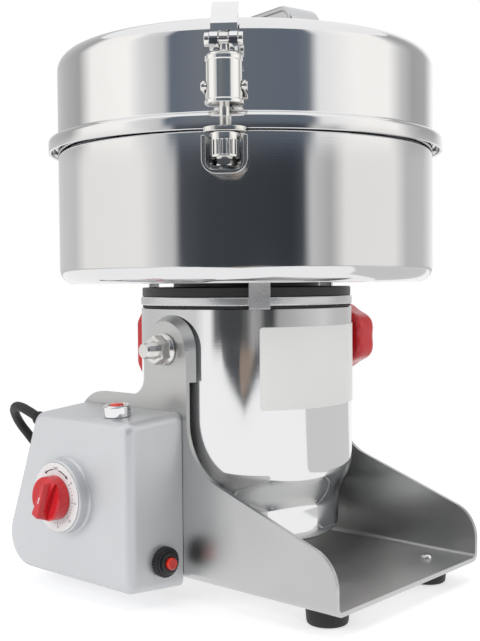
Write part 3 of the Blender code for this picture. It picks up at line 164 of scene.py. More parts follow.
# === bench ======================================================================================
class Bench:
    """Hand modelling: outlines are traced, spun, extruded, bridged, bevelled, cut and placed."""

    def __init__(self, turn_steps: int = 96) -> None:
        """Clear the selection that loading the frame left behind."""
        self.turn_steps = turn_steps
        self.clear()

    def clear(self) -> None:
        """Leave edit mode and deselect everything."""
        if bpy.context.object and bpy.context.object.mode != "OBJECT":
            bpy.ops.object.mode_set(mode="OBJECT")
        bpy.ops.object.select_all(action="DESELECT")

    def take(self, *pieces: Piece) -> None:
        """Select pieces and make the first one active.

        Args:
            pieces: the pieces, with the one that keeps its name first.
        """
        self.clear()
        for piece in pieces:
            piece.select_set(True)
        bpy.context.view_layer.objects.active = pieces[0]

    def edit(self, piece: Piece, mode: str = "VERT") -> None:
        """Open a piece in edit mode with everything selected.

        Args:
            piece: the piece.
            mode: VERT, EDGE or FACE.
        """
        self.take(piece)
        bpy.ops.object.mode_set(mode="EDIT")
        bpy.ops.mesh.select_mode(type=mode)
        bpy.ops.mesh.select_all(action="SELECT")

    def close(self) -> None:
        """Merge what meets, turn all faces outwards and leave edit mode."""
        bpy.ops.mesh.select_all(action="SELECT")
        bpy.ops.mesh.remove_doubles(threshold=0.002)
        bpy.ops.mesh.normals_make_consistent(inside=False)
        bpy.ops.object.mode_set(mode="OBJECT")

    def trace(self, name: str, points: list[Place], closed: bool = False) -> Piece:
        """Draw a line from point to point.

        Args:
            name: the new piece's name.
            points: the line's points.
            closed: whether the last point joins the first.

        Returns:
            A piece made of edges only.
        """
        self.clear()
        bpy.ops.mesh.primitive_plane_add(size=1, location=(0, 0, 0))
        piece = bpy.context.object
        piece.name = piece.data.name = name
        self.edit(piece)
        bpy.ops.mesh.merge(type="CENTER")
        bpy.ops.transform.translate(value=points[0])
        for one, two in zip(points, points[1:]):
            step = Vector(two) - Vector(one)
            bpy.ops.mesh.extrude_vertices_move(TRANSFORM_OT_translate={"value": step})
        if closed:
            bpy.ops.mesh.select_all(action="DESELECT")
            bpy.ops.object.mode_set(mode="OBJECT")
            for v in piece.data.vertices:
                v.select = v.index in (0, len(piece.data.vertices) - 1)
            bpy.ops.object.mode_set(mode="EDIT")
            bpy.ops.mesh.edge_face_add()
            bpy.ops.mesh.select_all(action="SELECT")
        bpy.ops.object.mode_set(mode="OBJECT")
        return piece

    def turn(self, name: str, outline: Flat, steps: int = 0, closed: bool = True) -> Piece:
        """Spin an (r, z) outline about Z.

        Args:
            name: the new piece's name.
            outline: the section; ends on the axis close the shape there.
            steps: how many steps the turn has, or 0 for the bench's own.
            closed: whether the last point joins the first.

        Returns:
            The turned piece.
        """
        on_axis = outline[0][0] < 1e-6 and outline[-1][0] < 1e-6
        piece = self.trace(name, [(r, 0, z) for r, z in outline], closed and not on_axis)
        self.edit(piece)
        bpy.ops.mesh.spin(steps=steps or self.turn_steps, angle=2 * math.pi, center=(0, 0, 0), axis=(0, 0, 1),
            use_auto_merge=True)
        self.close()
        return piece

    def lathe(self, name: str, corners: list[Place], rounding: int = 6, steps: int = 0) -> Piece:
        """Round the corners of a section and spin it about Z.

        Args:
            name: the new piece's name.
            corners: (r, z, radius) of each; a section that starts and ends on the axis isn't closed there.
            rounding: chords in each rounded corner.
            steps: how many steps the turn has, or 0 for the bench's own.

        Returns:
            The turned piece.
        """
        solid = corners[0][0] == 0 and corners[-1][0] == 0
        return self.turn(name, fillet(corners, closed=not solid, steps=rounding), steps)

    def slab(self, name: str, outline: Flat, low: float, high: float) -> Piece:
        """Fill an (x, y) outline and extrude it along Z.

        Args:
            name: the new piece's name.
            outline: the closed outline.
            low, high: where along Z it starts and ends.

        Returns:
            The extruded piece.
        """
        piece = self.trace(name, [(x, y, low) for x, y in outline], True)
        self.edit(piece)
        bpy.ops.mesh.edge_face_add()
        bpy.ops.mesh.extrude_region_move(TRANSFORM_OT_translate={"value": (0, 0, high - low)})
        self.close()
        return piece

    def loft(self, name: str, sections: list[list[Place]]) -> Piece:
        """Bridge a stack of closed sections and cap both ends.

        Args:
            name: the new piece's name.
            sections: outlines with the same number of points.

        Returns:
            The bridged piece.
        """
        rows = [self.trace(name, section, True) for section in sections]
        count = len(sections[0])
        self.take(*rows)
        bpy.ops.object.join()
        piece = bpy.context.object
        piece.name = piece.data.name = name
        for k in range(len(sections) - 1):
            self.pick(piece, lambda v: k * count <= v.index < (k + 2) * count, "EDGE")
            bpy.ops.mesh.bridge_edge_loops()
        for k in (0, len(sections) - 1):
            self.pick(piece, lambda v: k * count <= v.index < (k + 1) * count, "VERT")
            bpy.ops.mesh.edge_face_add()
        self.close()
        return piece

    def pick(self, piece: Piece, wanted: Callable[[bpy.types.MeshVertex], bool], mode: str = "VERT") -> None:
        """Open a piece with only some vertices, or the edges or faces between them, selected.

        Args:
            piece: the piece to edit.
            wanted: says for a vertex whether it is selected.
            mode: VERT, EDGE or FACE.
        """
        self.edit(piece)
        bpy.ops.mesh.select_all(action="DESELECT")
        bpy.ops.object.mode_set(mode="OBJECT")
        for v in piece.data.vertices:
            v.select = wanted(v)
        bpy.ops.object.mode_set(mode="EDIT")
        if mode != "VERT":
            bpy.ops.mesh.select_mode(type=mode)

    def box(self, name: str, low: Place, high: Place, bevel: float = 0.0, segments: int = 4) -> Piece:
        """Add a cube between two corners and round its edges.

        Args:
            name: the new piece's name.
            low, high: opposite corners.
            bevel: radius of its edges.
            segments: steps in each rounding.

        Returns:
            The rounded block.
        """
        low, high = Vector(low), Vector(high)
        self.clear()
        bpy.ops.mesh.primitive_cube_add(size=1, location=(low + high) / 2)
        piece = bpy.context.object
        piece.name = piece.data.name = name
        self.edit(piece)
        bpy.ops.transform.resize(value=high - low)
        bpy.ops.object.mode_set(mode="OBJECT")
        bpy.ops.object.transform_apply(location=True, rotation=True, scale=True)
        if bevel:
            self.bevel(piece, bevel, segments)
        return piece

    def bevel(self, piece: Piece, width: float, segments: int = 3, angle: float = 35.0) -> Piece:
        """Round the edges that are sharper than an angle.

        Args:
            piece: the piece.
            width: radius of the rounding.
            segments: steps in each rounding.
            angle: how many degrees an edge has to turn by.

        Returns:
            The piece.
        """
        made = piece.modifiers.new("edges", "BEVEL")
        made.width, made.segments, made.limit_method = width, segments, "ANGLE"
        made.angle_limit, made.use_clamp_overlap = math.radians(angle), True
        made.miter_outer = "MITER_ARC"
        return self.apply(piece, made)

    def apply(self, piece: Piece, modifier: bpy.types.Modifier) -> Piece:
        """Apply a modifier.

        Args:
            piece: the piece.
            modifier: the modifier.

        Returns:
            The piece.
        """
        self.take(piece)
        bpy.ops.object.modifier_apply(modifier=modifier.name)
        return piece

    def combine(self, piece: Piece, tool: Piece, operation: str) -> Piece:
        """Apply a Boolean with a tool piece, and take the tool away.

        Args:
            piece: the piece.
            tool: the tool piece, which is used up.
            operation: UNION, DIFFERENCE or INTERSECT.

        Returns:
            The piece.
        """
        made = piece.modifiers.new("combine", "BOOLEAN")
        made.operation, made.object, made.solver = operation, tool, "EXACT"
        self.apply(piece, made)
        bpy.data.objects.remove(tool)
        return piece

    def cut(self, piece: Piece, *tools: Piece) -> Piece:
        """Remove each tool's shape from a piece.

        Args:
            piece: the piece.
            tools: the tool pieces, which are used up.

        Returns:
            The piece.
        """
        for tool in tools:
            self.combine(piece, tool, "DIFFERENCE")
        return piece

    def weld(self, piece: Piece, *tools: Piece) -> Piece:
        """Unite a piece with each tool's shape.

        Args:
            piece: the piece.
            tools: the tool pieces, which are used up.

        Returns:
            The piece.
        """
        for tool in tools:
            self.combine(piece, tool, "UNION")
        return piece

    def join(self, *pieces: Piece) -> Piece:
        """Join pieces that only lie against each other into one.

        Args:
            pieces: the pieces, with the one that keeps its name first.

        Returns:
            The joined piece.
        """
        self.take(*pieces)
        bpy.ops.object.join()
        return pieces[0]

    def put(self, piece: Piece, place: Matrix) -> Piece:
        """Move a piece to a frame and apply the move to its mesh.

        Args:
            piece: the piece.
            place: the frame to move it to.

        Returns:
            The piece.
        """
        piece.matrix_world = place @ piece.matrix_world
        self.take(piece)
        bpy.ops.object.transform_apply(location=True, rotation=True, scale=True)
        return piece

    def copy(self, piece: Piece, name: str, place: Matrix) -> Piece:
        """Copy a piece with a mesh of its own, and move the copy.

        Args:
            piece: the piece.
            name: the new piece's name.
            place: the frame to move it to.

        Returns:
            The copy.
        """
        self.take(piece)
        bpy.ops.object.duplicate(linked=False)
        made = bpy.context.object
        made.name = made.data.name = name
        return self.put(made, place)

    def disc(self, name: str, radius: float, low: float, high: float, steps: int = 48) -> Piece:
        """Round tool for a bore."""
        return self.turn(name, [(0, low), (radius, low), (radius, high), (0, high)], steps)

    def write(self, name: str, words: str, size: float, place: Matrix) -> Piece:
        """Set a short word or number as flat raised ink.

        Args:
            name: the new piece's name.
            words: what it says.
            size: the letters' size.
            place: the frame whose Z points off the surface.

        Returns:
            The word as a mesh.
        """
        self.clear()
        bpy.ops.object.text_add(location=(0, 0, 0))
        piece = bpy.context.object
        piece.name = name
        piece.data.body, piece.data.size, piece.data.extrude = words, size, 0.04
        piece.data.align_x, piece.data.align_y = "CENTER", "CENTER"
        piece.data.resolution_u = 3
        bpy.ops.object.convert(target="MESH")
        return self.put(bpy.context.object, place)


# === finishes ===================================================================================
class Grain(Enum):
    """Which way the marks on a surface run."""

    TURNED = "turned"
    ALONG_Y = "along_y"
    ALONG_Z = "along_z"
    EVEN = "even"


STRETCH = {Grain.TURNED: (4.0, 260.0, 260.0), Grain.ALONG_Y: (260.0, 4.0, 260.0), Grain.ALONG_Z: (260.0, 260.0,
    4.0), Grain.EVEN: (100.0, 100.0, 100.0), }


class Nodes:
    """Small helper that adds and links shader nodes in one tree."""

    def __init__(self, tree: bpy.types.NodeTree) -> None:
        """Work in that tree."""
        self.tree = tree

    def add(self, kind: str, values: dict | None = None, **settings: object) -> bpy.types.Node:
        """Add a node.

        Args:
            kind: its type.
            values: socket name or number to a value, or to another node's output.
            settings: the node's own settings.

        Returns:
            The node.
        """
        node = self.tree.nodes.new(kind)
        for key, value in settings.items():
            setattr(node, key, value)
        for key, value in (values or {}).items():
            if isinstance(value, Socket):
                self.tree.links.new(value, node.inputs[key])
            else:
                node.inputs[key].default_value = value
        return node

    def math(self, operation: str, *values: Socket | float) -> Socket:
        """Output of a Math node."""
        return self.add("ShaderNodeMath", dict(enumerate(values)), operation=operation).outputs[0]


def new_group(name: str, inputs: dict[str, tuple],
              outputs: dict[str, str]) -> tuple[Nodes, bpy.types.Node, bpy.types.Node]:
    """Start a shader node group.

    Args:
        name: the group's name.
        inputs: input name to (socket type, default).
        outputs: output name to socket type.

    Returns:
        The group's nodes, its input node and its output node.
    """
    tree = bpy.data.node_groups.new(name, "ShaderNodeTree")
    for key, (kind, value) in inputs.items():
        socket = tree.interface.new_socket(key, in_out="INPUT", socket_type=kind)
        if value is not None:
            socket.default_value = value
    for key, kind in outputs.items():
        tree.interface.new_socket(key, in_out="OUTPUT", socket_type=kind)
    nodes = Nodes(tree)
    return nodes, tree.nodes.new("NodeGroupInput"), tree.nodes.new("NodeGroupOutput")


class Effects:
    """Shader node groups that several finishes share."""

    def __init__(self) -> None:
        """Build each group once."""
        self.around = self._around()
        self.grain = self._grain()
        self.marks = self._marks()
        self.tone = self._tone()

    @staticmethod
    def _around() -> bpy.types.NodeTree:
        """Coordinates unrolled round Z: the way round, the height and the radius.

        Returns:
            The node group.
        """
        nodes, given, out = new_group("unrolled", {"Vector": ("NodeSocketVector", None)},
            {"Vector": "NodeSocketVector"})
        parts = nodes.add("ShaderNodeSeparateXYZ", {0: given.outputs[0]})
        x, y, z = parts.outputs
        radius = nodes.math("SQRT", nodes.math("ADD", nodes.math("MULTIPLY", x, x), nodes.math("MULTIPLY", y, y)))
        turn = nodes.math("MULTIPLY", nodes.math("ARCTAN2", y, x), BOWL_METRES)
        joined = nodes.add("ShaderNodeCombineXYZ", {0: turn, 1: z, 2: radius})
        nodes.tree.links.new(joined.outputs[0], out.inputs[0])
        return nodes.tree

    @staticmethod
    def _grain() -> bpy.types.NodeTree:
        """Fine lines or speckle as a height from 0 to 1.

        Returns:
            The node group.
        """
        nodes, given, out = new_group("grain", {"Vector": ("NodeSocketVector", None),
            "Stretch": ("NodeSocketVector", (100, 100, 100)), "Detail": ("NodeSocketFloat", 3.0)},
            {"Height": "NodeSocketFloat"})
        scaled = nodes.add("ShaderNodeVectorMath", {0: given.outputs["Vector"], 1: given.outputs["Stretch"]},
            operation="MULTIPLY")
        noise = nodes.add("ShaderNodeTexNoise", {"Vector": scaled.outputs[0], "Scale": 6.0,
            "Detail": given.outputs["Detail"], "Roughness": 0.6})
        nodes.tree.links.new(noise.outputs[0], out.inputs[0])
        return nodes.tree

    @staticmethod
    def _marks() -> bpy.types.NodeTree:
        """Roughness that wanders between two values, as wiped and handled surfaces do.

        Returns:
            The node group.
        """
        nodes, given, out = new_group("handling", {"Vector": ("NodeSocketVector", None),
            "Scale": ("NodeSocketFloat", 14.0), "Low": ("NodeSocketFloat", 0.1), "High": ("NodeSocketFloat", 0.2)},
            {"Roughness": "NodeSocketFloat"})
        noise = nodes.add("ShaderNodeTexNoise", {"Vector": given.outputs["Vector"], "Scale": given.outputs["Scale"],
            "Detail": 5.0, "Roughness": 0.65, "Distortion": 0.6})
        wide = nodes.add("ShaderNodeMapRange", {0: noise.outputs[0], 1: 0.3, 2: 0.7, 3: given.outputs["Low"],
            4: given.outputs["High"]})
        nodes.tree.links.new(wide.outputs[0], out.inputs[0])
        return nodes.tree

    @staticmethod
    def _tone() -> bpy.types.NodeTree:
        """Colour with slow and fine changes of brightness.

        Returns:
            The node group.
        """
        nodes, given, out = new_group("tone", {"Vector": ("NodeSocketVector", None), "Color": ("NodeSocketColor",
            (1, 1, 1, 1)), "Amount": ("NodeSocketFloat", 0.1), "Scale": ("NodeSocketFloat", 30.0)},
            {"Color": "NodeSocketColor"})
        noise = nodes.add("ShaderNodeTexNoise", {"Vector": given.outputs["Vector"], "Scale": given.outputs["Scale"],
            "Detail": 6.0, "Roughness": 0.55})
        swing = nodes.math("MULTIPLY", nodes.math("SUBTRACT", noise.outputs[0], 0.5), given.outputs["Amount"])
        value = nodes.math("ADD", swing, 1.0)
        tinted = nodes.add("ShaderNodeVectorMath", {0: given.outputs["Color"], "Scale": value}, operation="SCALE")
        nodes.tree.links.new(tinted.outputs[0], out.inputs[0])
        return nodes.tree


@dataclass(frozen=True)
class Finish:
    """One surface finish, dressed from the shared effects."""

    name: str
    slot: str
    colour: Place
    metallic: float = 0.0
    roughness: tuple[float, float] = (0.4, 0.5)
    grain: Grain = Grain.EVEN
    depth: float = 0.05
    tone: float = 0.06
    coat: float = 0.0
    coat_roughness: float = 0.1
    stretch: Place | None = None
    emission: float = 0.0

    def make(self, effects: Effects, centre: Vector) -> bpy.types.Material:
        """Build the material.

        Args:
            effects: the shared node groups.
            centre: the mill's axis in metres, which turned grain runs round.

        Returns:
            The material.
        """
        made = bpy.data.materials.new(self.name)
        made.use_nodes = True
        tree = made.node_tree
        nodes = Nodes(tree)
        shader = tree.nodes["Principled BSDF"]
        where = nodes.add("ShaderNodeTexCoord").outputs["Object"]
        moved = nodes.add("ShaderNodeMapping", {"Vector": where, "Location": -centre}).outputs[0]
        lay = moved
        if self.grain is Grain.TURNED:
            lay = nodes.add("ShaderNodeGroup", node_tree=effects.around)
            tree.links.new(moved, lay.inputs[0])
            lay = lay.outputs[0]
        tone = nodes.add("ShaderNodeGroup", node_tree=effects.tone)
        tone.inputs["Color"].default_value = (*self.colour, 1)
        tone.inputs["Amount"].default_value = self.tone
        tree.links.new(moved, tone.inputs["Vector"])
        tree.links.new(tone.outputs[0], shader.inputs["Base Color"])
        marks = nodes.add("ShaderNodeGroup", node_tree=effects.marks)
        marks.inputs["Low"].default_value, marks.inputs["High"].default_value = self.roughness
        tree.links.new(moved, marks.inputs["Vector"])
        tree.links.new(marks.outputs[0], shader.inputs["Roughness"])
        grain = nodes.add("ShaderNodeGroup", node_tree=effects.grain)
        grain.inputs["Stretch"].default_value = self.stretch or STRETCH[self.grain]
        tree.links.new(lay, grain.inputs["Vector"])
        bump = nodes.add("ShaderNodeBump", {"Strength": self.depth, "Distance": 0.0004, "Height": grain.outputs[0]})
        tree.links.new(bump.outputs[0], shader.inputs["Normal"])
        shader.inputs["Metallic"].default_value = self.metallic
        shader.inputs["Coat Weight"].default_value = self.coat
        shader.inputs["Coat Roughness"].default_value = self.coat_roughness
        if self.emission:
            shader.inputs["Emission Color"].default_value = (*self.colour, 1)
            shader.inputs["Emission Strength"].default_value = self.emission
        return made


class Look(Enum):
    """The mill's finishes."""

    MIRROR = Finish("polished_sheet", "polished_steel", (0.80, 0.80, 0.81), 1.0, (0.055, 0.10), Grain.TURNED, 0.012,
        0.03)
    SHELL = Finish("polished_shell", "polished_steel", (0.84, 0.84, 0.85), 1.0, (0.05, 0.09), Grain.TURNED, 0.012,
        0.03)
    BLADE = Finish("ground_steel", "satin_steel", (0.66, 0.66, 0.67), 1.0, (0.20, 0.32), Grain.ALONG_Y, 0.06, 0.06)
    ALLOY = Finish("machined_alloy", "satin_alloy", (0.74, 0.74, 0.75), 1.0, (0.22, 0.34), Grain.TURNED, 0.06, 0.06)
    PLATE = Finish("brushed_plate", "frame_steel", (0.60, 0.605, 0.60), 1.0, (0.30, 0.40), Grain.ALONG_Y, 0.05,
        0.05)
    CASTING = Finish("painted_casting", "box_silver", (0.66, 0.67, 0.69), 0.55, (0.36, 0.44), Grain.EVEN, 0.10,
        0.05, 0.15, 0.25, (45.0, 45.0, 45.0))
    ZINC = Finish("bright_zinc", "zinc", (0.82, 0.81, 0.79), 1.0, (0.12, 0.22), Grain.EVEN, 0.03, 0.08)
    CHROME = Finish("chrome_plate", "chrome", (0.86, 0.86, 0.87), 1.0, (0.03, 0.07), Grain.EVEN, 0.01, 0.02)
    CORE = Finish("core_steel", "iron_core", (0.20, 0.17, 0.15), 0.6, (0.45, 0.60), Grain.ALONG_Z, 0.15, 0.25)
    BLACK = Finish("black_moulding", "black_plastic", (0.018, 0.018, 0.020), 0.0, (0.32, 0.48), Grain.EVEN, 0.12,
        0.2)
    RUBBER = Finish("black_rubber", "black_rubber", (0.022, 0.022, 0.023), 0.0, (0.55, 0.72), Grain.EVEN, 0.25, 0.2)
    SEAL = Finish("pale_rubber", "white_rubber", (0.72, 0.72, 0.70), 0.0, (0.5, 0.65), Grain.EVEN, 0.12, 0.06)
    RED = Finish("red_moulding", "red_plastic", (0.62, 0.012, 0.02), 0.0, (0.20, 0.32), Grain.EVEN, 0.04, 0.08, 0.3,
        0.08)
    LENS = Finish("red_lens", "red_plastic", (0.78, 0.035, 0.02), 0.0, (0.12, 0.2), Grain.EVEN, 0.02, 0.06, 0.5,
        0.05)
    CLAMP = Finish("polished_zinc", "zinc", (0.84, 0.835, 0.82), 1.0, (0.08, 0.15), Grain.EVEN, 0.02, 0.06)
    DIAL = Finish("dial_face", "dial_white", (0.80, 0.80, 0.80), 0.0, (0.3, 0.4), Grain.EVEN, 0.03, 0.02)
    HANDLE = Finish("handle_steel", "chrome", (0.60, 0.605, 0.62), 1.0, (0.12, 0.20), Grain.EVEN, 0.03, 0.08)
    LABEL = Finish("blank_sticker", "label_white", (0.88, 0.875, 0.85), 0.0, (0.28, 0.38), Grain.EVEN, 0.05, 0.03)


# === making =====================================================================================
@dataclass
class Layout:
    """Where the mill stands in the frame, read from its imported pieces."""

    axis: Vector = field(default_factory=Vector)

    @classmethod
    def read(cls) -> "Layout":
        """Read the mill's axis and the base plate's underside from the frame."""
        low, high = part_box("grinding_bowl")
        return cls(Vector(((low.x + high.x) / 2, (low.y + high.y) / 2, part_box("base_frame")[0].z)))

    def world(self) -> Matrix:
        """Millimetres round the mill's axis to the frame's metres."""
        return Matrix.Translation(self.axis) @ Matrix.Scale(MM, 4)

    def point(self, place: Place) -> Vector:
        """One point in the frame's metres."""
        return self.world() @ Vector(place)


class Maker:
    """The bench, the finishes and the way a finished piece joins the frame."""

    def __init__(self, layout: Layout) -> None:
        """Prepare the bench and build every finish.

        Args:
            layout: where the mill stands.
        """
        self.layout = layout
        self.bench = Bench()
        effects = Effects()
        self.looks = {look: look.value.make(effects, layout.axis) for look in Look}

    def fit(self, piece: Piece, look: Look, body: str, *nodes: str, smooth: float = 30.0) -> Piece:
        """Bring a finished piece into the frame, dress it and let it ride.

        Args:
            piece: the piece, in millimetres.
            look: its finish.
            body: the body it moves with.
            nodes: the CAD nodes that it stands for.
            smooth: the angle under which edges are shaded smooth.

        Returns:
            The piece.
        """
        self.bench.put(piece, self.layout.world())
        bpy.ops.object.shade_smooth_by_angle(angle=math.radians(smooth))
        evened = piece.modifiers.new("shading", "WEIGHTED_NORMAL")
        evened.keep_sharp = True
        self.bench.apply(piece, evened)
        piece.data.materials.clear()
        piece.data.materials.append(self.looks[look])
        self.enter(piece, look, body, *nodes)
        return piece

    def enter(self, piece: Piece, look: Look, body: str, *nodes: str) -> None:
        """Declare a piece's body, hide the CAD nodes it stands for, and report it.

        Args:
            piece: the piece.
            look: the finish; not used.
            body: the body it moves with.
            nodes: the CAD nodes that it stands for.
        """
        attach(piece, body)
        if nodes:
            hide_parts(*nodes)
        log.info("made %s on %s", piece.name, body)

    def dress(self, look: Look, *nodes: str) -> None:
        """Give CAD nodes that stay in view a finish.

        Args:
            look: the finish.
            nodes: the CAD nodes.
        """
        for node in nodes:
            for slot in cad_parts[node].material_slots:
                slot.material = self.looks[look]
            log.info("dressed %s", node)


# === parts ======================================================================================
@dataclass
class Part:
    """What every sub-assembly has: the maker that fits its pieces and the bench it models on."""

    maker: Maker

    @property
    def bench(self) -> Bench:
        """The modelling bench."""
        return self.maker.bench


# === studio =====================================================================================
@dataclass
class Studio(Part):
    """Camera, floor, soft light and the room that the polished steel reflects."""

    eye: Place = (-0.56097, -0.49706, 0.21417)
    heading: float = 41.65
    tilt: float = -2.24
    roll: float = -0.47
    lens: float = 57.45
    room_radius: float = 2.6
    room_low: float = -0.4
    room_high: float = 2.6
    base_band: tuple[float, float] = (0.14, 0.19)
    high_band: tuple[float, float] = (0.57, 0.68)
    floor_fade: tuple[float, float] = (0.45, 1.0)
    lamps: list[tuple[str, Place, Place, float, float]] = field(default_factory=lambda: [("left_softbox", (-1.7,
        0.35, 0.9), (0, 0, 0.12), 1.3, 16.5), ("right_softbox", (0.75, -1.6, 0.8), (0, 0, 0.15), 1.2, 9.0),
        ("top_softbox", (-0.1, -0.1, 2.0), (0, 0, 0.1), 1.6, 16.0), ("rear_softbox", (0.9, 1.5, 1.1), (0, 0, 0.15),
        1.2, 7.0), ])

    def camera(self) -> None:
        """Place the camera."""
        data = bpy.data.cameras.new("camera")
        data.lens, data.sensor_width, data.clip_start, data.clip_end = self.lens, 36.0, 0.01, 30.0
        camera = bpy.data.objects.new("camera", data)
        bpy.context.scene.collection.objects.link(camera)
        camera.matrix_world = (Matrix.Translation(self.eye) @ Matrix.Rotation(math.radians(self.heading - 90), 4,
            "Z") @ Matrix.Rotation(math.radians(90 + self.tilt), 4, "X") @ Matrix.Rotation(math.radians(self.roll),
            4, "Z"))
        bpy.context.scene.camera = camera

    def build(self) -> None:
        """Make the floor, the room, the world and the lamps."""
        bpy.context.scene.view_settings.view_transform = "Standard"
        self._world()
        self._floor()
        self._room()
        self._floor_cards()
        for name, place, target, size, power in self.lamps:
            self._lamp(name, place, target, size, power)
        log.info("made the studio")

    @staticmethod
    def _white_rays(nodes: Nodes) -> Socket:
        """1 for rays from the camera, a mirror or glass, and 0 for the rest.

        Args:
            nodes: the material's nodes.

        Returns:
            The mask.
        """
        path = nodes.add("ShaderNodeLightPath")
        both = nodes.math("MAXIMUM", path.outputs["Is Camera Ray"], path.outputs["Is Glossy Ray"])
        return nodes.math("MAXIMUM", both, path.outputs["Is Transmission Ray"])

    def _world(self) -> None:
        """White to the eye and to mirrors, plain grey light to the rest."""
        world = bpy.data.worlds.new("studio")
        bpy.context.scene.world = world
        world.use_nodes = True
        nodes = Nodes(world.node_tree)
        world.node_tree.nodes.clear()
        dim = nodes.add("ShaderNodeBackground", {"Color": (0.96, 0.98, 1, 1), "Strength": 0.42})
        white = nodes.add("ShaderNodeBackground", {"Color": (1, 1, 1, 1), "Strength": 1.0})
        mixed = nodes.add("ShaderNodeMixShader", {0: self._white_rays(nodes), 1: dim.outputs[0],
            2: white.outputs[0]})
        nodes.add("ShaderNodeOutputWorld", {0: mixed.outputs[0]})

    def _floor(self) -> None:
        """Pale floor that shows white where no shadow falls."""
        self.bench.clear()
        bpy.ops.mesh.primitive_plane_add(size=9, location=(0, 0, -0.0004))
        floor = bpy.context.object
        floor.name = "floor"
        made = bpy.data.materials.new("floor")
        made.use_nodes = True
        nodes = Nodes(made.node_tree)
        made.node_tree.nodes.clear()
        pale = nodes.add("ShaderNodeBsdfDiffuse", {"Color": (0.62, 0.62, 0.63, 1)})
        glow = nodes.add("ShaderNodeEmission", {"Color": (1, 1, 1, 1), "Strength": 0.56})
        near = nodes.add("ShaderNodeAddShader", {0: pale.outputs[0], 1: glow.outputs[0]})
        white = nodes.add("ShaderNodeEmission", {"Color": (1, 1, 1, 1), "Strength": 1.0})
        reach = nodes.add("ShaderNodeVectorMath", {0: nodes.add("ShaderNodeTexCoord").outputs["Object"]},
            operation="LENGTH").outputs["Value"]
        far = nodes.add("ShaderNodeMapRange", {0: reach, 1: self.floor_fade[0], 2: self.floor_fade[1]},
            interpolation_type="SMOOTHSTEP").outputs[0]
        path = nodes.add("ShaderNodeLightPath")
        fade = nodes.math("MAXIMUM", far, path.outputs["Is Glossy Ray"])
        shown = nodes.add("ShaderNodeMixShader", {0: fade, 1: near.outputs[0], 2: white.outputs[0]})
        plain = nodes.add("ShaderNodeBsdfDiffuse", {"Color": (0.80, 0.80, 0.80, 1)})
        mixed = nodes.add("ShaderNodeMixShader", {0: self._white_rays(nodes), 1: plain.outputs[0],
            2: shown.outputs[0]})
        nodes.add("ShaderNodeOutputMaterial", {0: mixed.outputs[0]})
        floor.data.materials.append(made)

    def _room(self) -> None:
        """Ring of bright and dark cards round the set, seen only in reflections."""
        centre = self.maker.layout.axis
        self.bench.clear()
        bpy.ops.mesh.primitive_cylinder_add(vertices=128, radius=self.room_radius, end_fill_type="NOTHING",
            depth=self.room_high - self.room_low, location=(centre.x, centre.y,
            (self.room_low + self.room_high) / 2))
        ring = bpy.context.object
        ring.name = "card_ring"
        bpy.ops.object.transform_apply(location=True, rotation=False, scale=False)
        bpy.ops.object.shade_smooth()
        made = bpy.data.materials.new("card_ring")
        made.use_nodes = True
        nodes = Nodes(made.node_tree)
        made.node_tree.nodes.clear()
        where = nodes.add("ShaderNodeTexCoord").outputs["Object"]
        turned = nodes.add("ShaderNodeMapping", {"Vector": where, "Rotation": (0, 0, -math.radians(self.heading))},
            vector_type="POINT")
        parts = nodes.add("ShaderNodeSeparateXYZ", {0: turned.outputs[0]})
        angle = nodes.math("ARCTAN2", parts.outputs[1], parts.outputs[0])
        share = nodes.math("FRACT", nodes.math("ADD", nodes.math("DIVIDE", angle, 2 * math.pi), 1.0))
        low = self._ramp(nodes, share, LOW_CARDS)
        high = self._ramp(nodes, share, HIGH_CARDS)
        rise = nodes.add("ShaderNodeMapRange", {0: parts.outputs[2], 1: self.high_band[0], 2: self.high_band[1]},
            interpolation_type="SMOOTHSTEP")
        upper = nodes.add("ShaderNodeMix", {0: rise.outputs[0], 6: low, 7: high}, data_type="RGBA")
        lift = nodes.add("ShaderNodeMapRange", {0: parts.outputs[2], 1: self.base_band[0], 2: self.base_band[1]},
            interpolation_type="SMOOTHSTEP")
        mix = nodes.add("ShaderNodeMix", {0: lift.outputs[0], 6: self._ramp(nodes, share, BASE_CARDS),
            7: upper.outputs[2]}, data_type="RGBA")
        glow = nodes.add("ShaderNodeEmission", {"Color": mix.outputs[2], "Strength": 1.0})
        nodes.add("ShaderNodeOutputMaterial", {0: glow.outputs[0]})
        ring.data.materials.append(made)
        for rays in ("visible_camera", "visible_diffuse", "visible_shadow", "visible_volume_scatter"):
            setattr(ring, rays, False)

    @staticmethod
    def _ramp(nodes: Nodes, share: Socket, stops: list[Place]) -> Socket:
        """Colour round the ring.

        Args:
            nodes: the material's nodes.
            share: how far round, from 0 to 1; the dark card's middle is at 0.5.
            stops: (share, brightness, blueness) of each stop.

        Returns:
            The colour.
        """
        ramp = nodes.add("ShaderNodeValToRGB", {0: share})
        ends = ramp.color_ramp.elements
        while len(ends) < len(stops):
            ends.new(0.5)
        for end, (at, value, blue) in zip(ends, stops):
            end.position = at
            end.color = (value * (1 - 0.20 * blue), value, value * (1 + 0.28 * blue), 1)
        return ramp.outputs[0]

